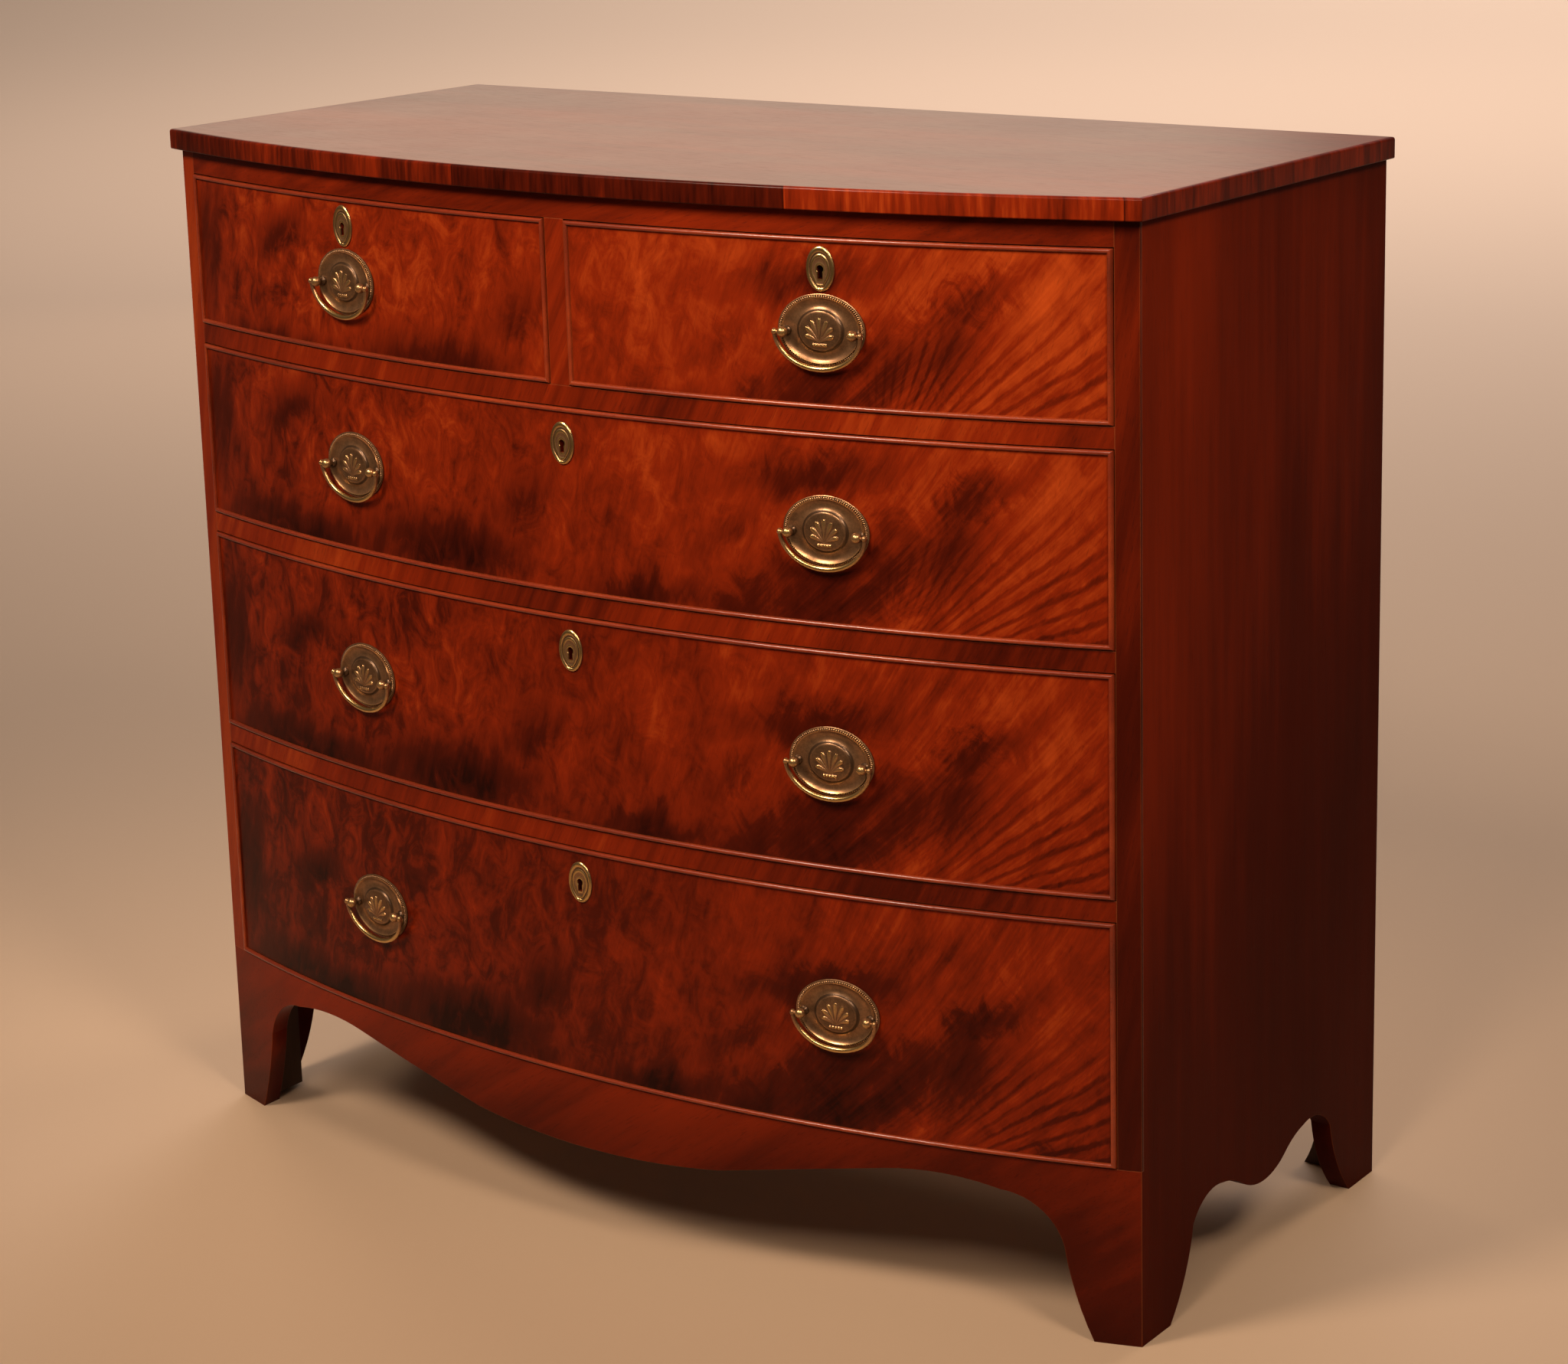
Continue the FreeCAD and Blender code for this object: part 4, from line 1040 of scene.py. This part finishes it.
# place, aim, size, watts, colour, spread in degrees, and whether polish mirrors the lamp
LAMPS = {
    "left_lamp": ((-0.8, -2.2, 2.9), (0, -0.1, 1.05), 0.9, 19, WARM_WHITE, 75, True),
    "right_lamp": ((0.9, -2.6, 2.7), (0.1, -0.1, 1.0), 0.8, 9, WARM_WHITE, 75, True),
    "side_lamp": ((2.2, -1.1, 2.6), (0.53, -0.12, 0.95), 0.8, 7, WARM_WHITE, 60, True),
    "wall_glow": ((-3.4, 3.3, 2.35), (-1.6, 0, 1.2), 4.2, 19, (1.0, 0.78, 0.58), 150, True),
    "floor_glow": ((-5.0, 18.0, 14.0), (-5.0, 18.0, 0), 14.0, 2700, (1.0, 0.95, 0.98), 120, True),
    "middle_glow": ((-3.5, 6.5, 7.0), (-3.5, 6.5, 0), 7.0, 250, (1.0, 0.90, 0.88), 100, True),
    "back_lamp": ((0.9, 3.0, 2.2), (0.0, 0.26, 0.55), 1.2, 4, WARM_WHITE, 45, False),
    "left_fill": ((-2.6, 1.2, 1.9), (-0.54, 0, 0.55), 1.0, 2, WARM_WHITE, 40, False),
}


def soft_lamp(name, place, aim, size, watts, colour, spread, mirrored):
    """Round soft box at place, turned to aim; a small spread keeps its light off the floor."""
    light = bpy.data.lights.new(name, "AREA")
    light.shape, light.spread = "DISK", math.radians(spread)
    light.size, light.energy, light.color = size, watts, colour
    lamp = add_object(name, light)
    lamp.location = place
    lamp.visible_camera = False
    lamp.visible_glossy = mirrored
    lamp.rotation_euler = (Vector(aim) - Vector(place)).to_track_quat("-Z", "Y").to_euler()


for name, settings in LAMPS.items():
    soft_lamp(name, *settings)
world = bpy.data.worlds.new("studio")
world.use_nodes = True
background = world.node_tree.nodes["Background"]
background.inputs["Color"].default_value = (1.0, 0.84, 0.70, 1)
background.inputs["Strength"].default_value = 0.10
bpy.context.scene.world = world
bpy.context.scene.view_settings.view_transform = "Standard"
print(len(LAMPS), "lamps and a dim room")

# %% [markdown]
# ## Camera
# A camera can be set by eye. Here its place, turn and lens come from fitting the chest's known corners
# to the photograph, so that the edges fall where they do there.

# %% Camera
CAMERA_PLACE = (1.9066, -2.5128, 1.3588)
right, up = Vector((0.82660, 0.56249, -0.01808)), Vector((-0.11584, 0.20150, 0.97262))
lens = bpy.data.cameras.new("camera")
lens.sensor_width, lens.lens = 36.0, 79.455  # millimetres
lens.shift_x, lens.shift_y = -0.0754, -0.0916  # shares of the picture's longer side
turn = Matrix((right, up, right.cross(up))).transposed().to_4x4()
camera = add_object("camera", lens)
camera.matrix_world = Matrix.Translation(CAMERA_PLACE) @ turn
bpy.context.scene.camera = camera
print("camera at", CAMERA_PLACE, "with a lens of", round(lens.lens, 1), "mm")

# %% [markdown]
# ## Sizes
# Dressing must not make the chest larger, so its box is printed.

# %% Sizes
bpy.context.view_layer.update()
low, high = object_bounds()
print("visual box", list(low), list(high))
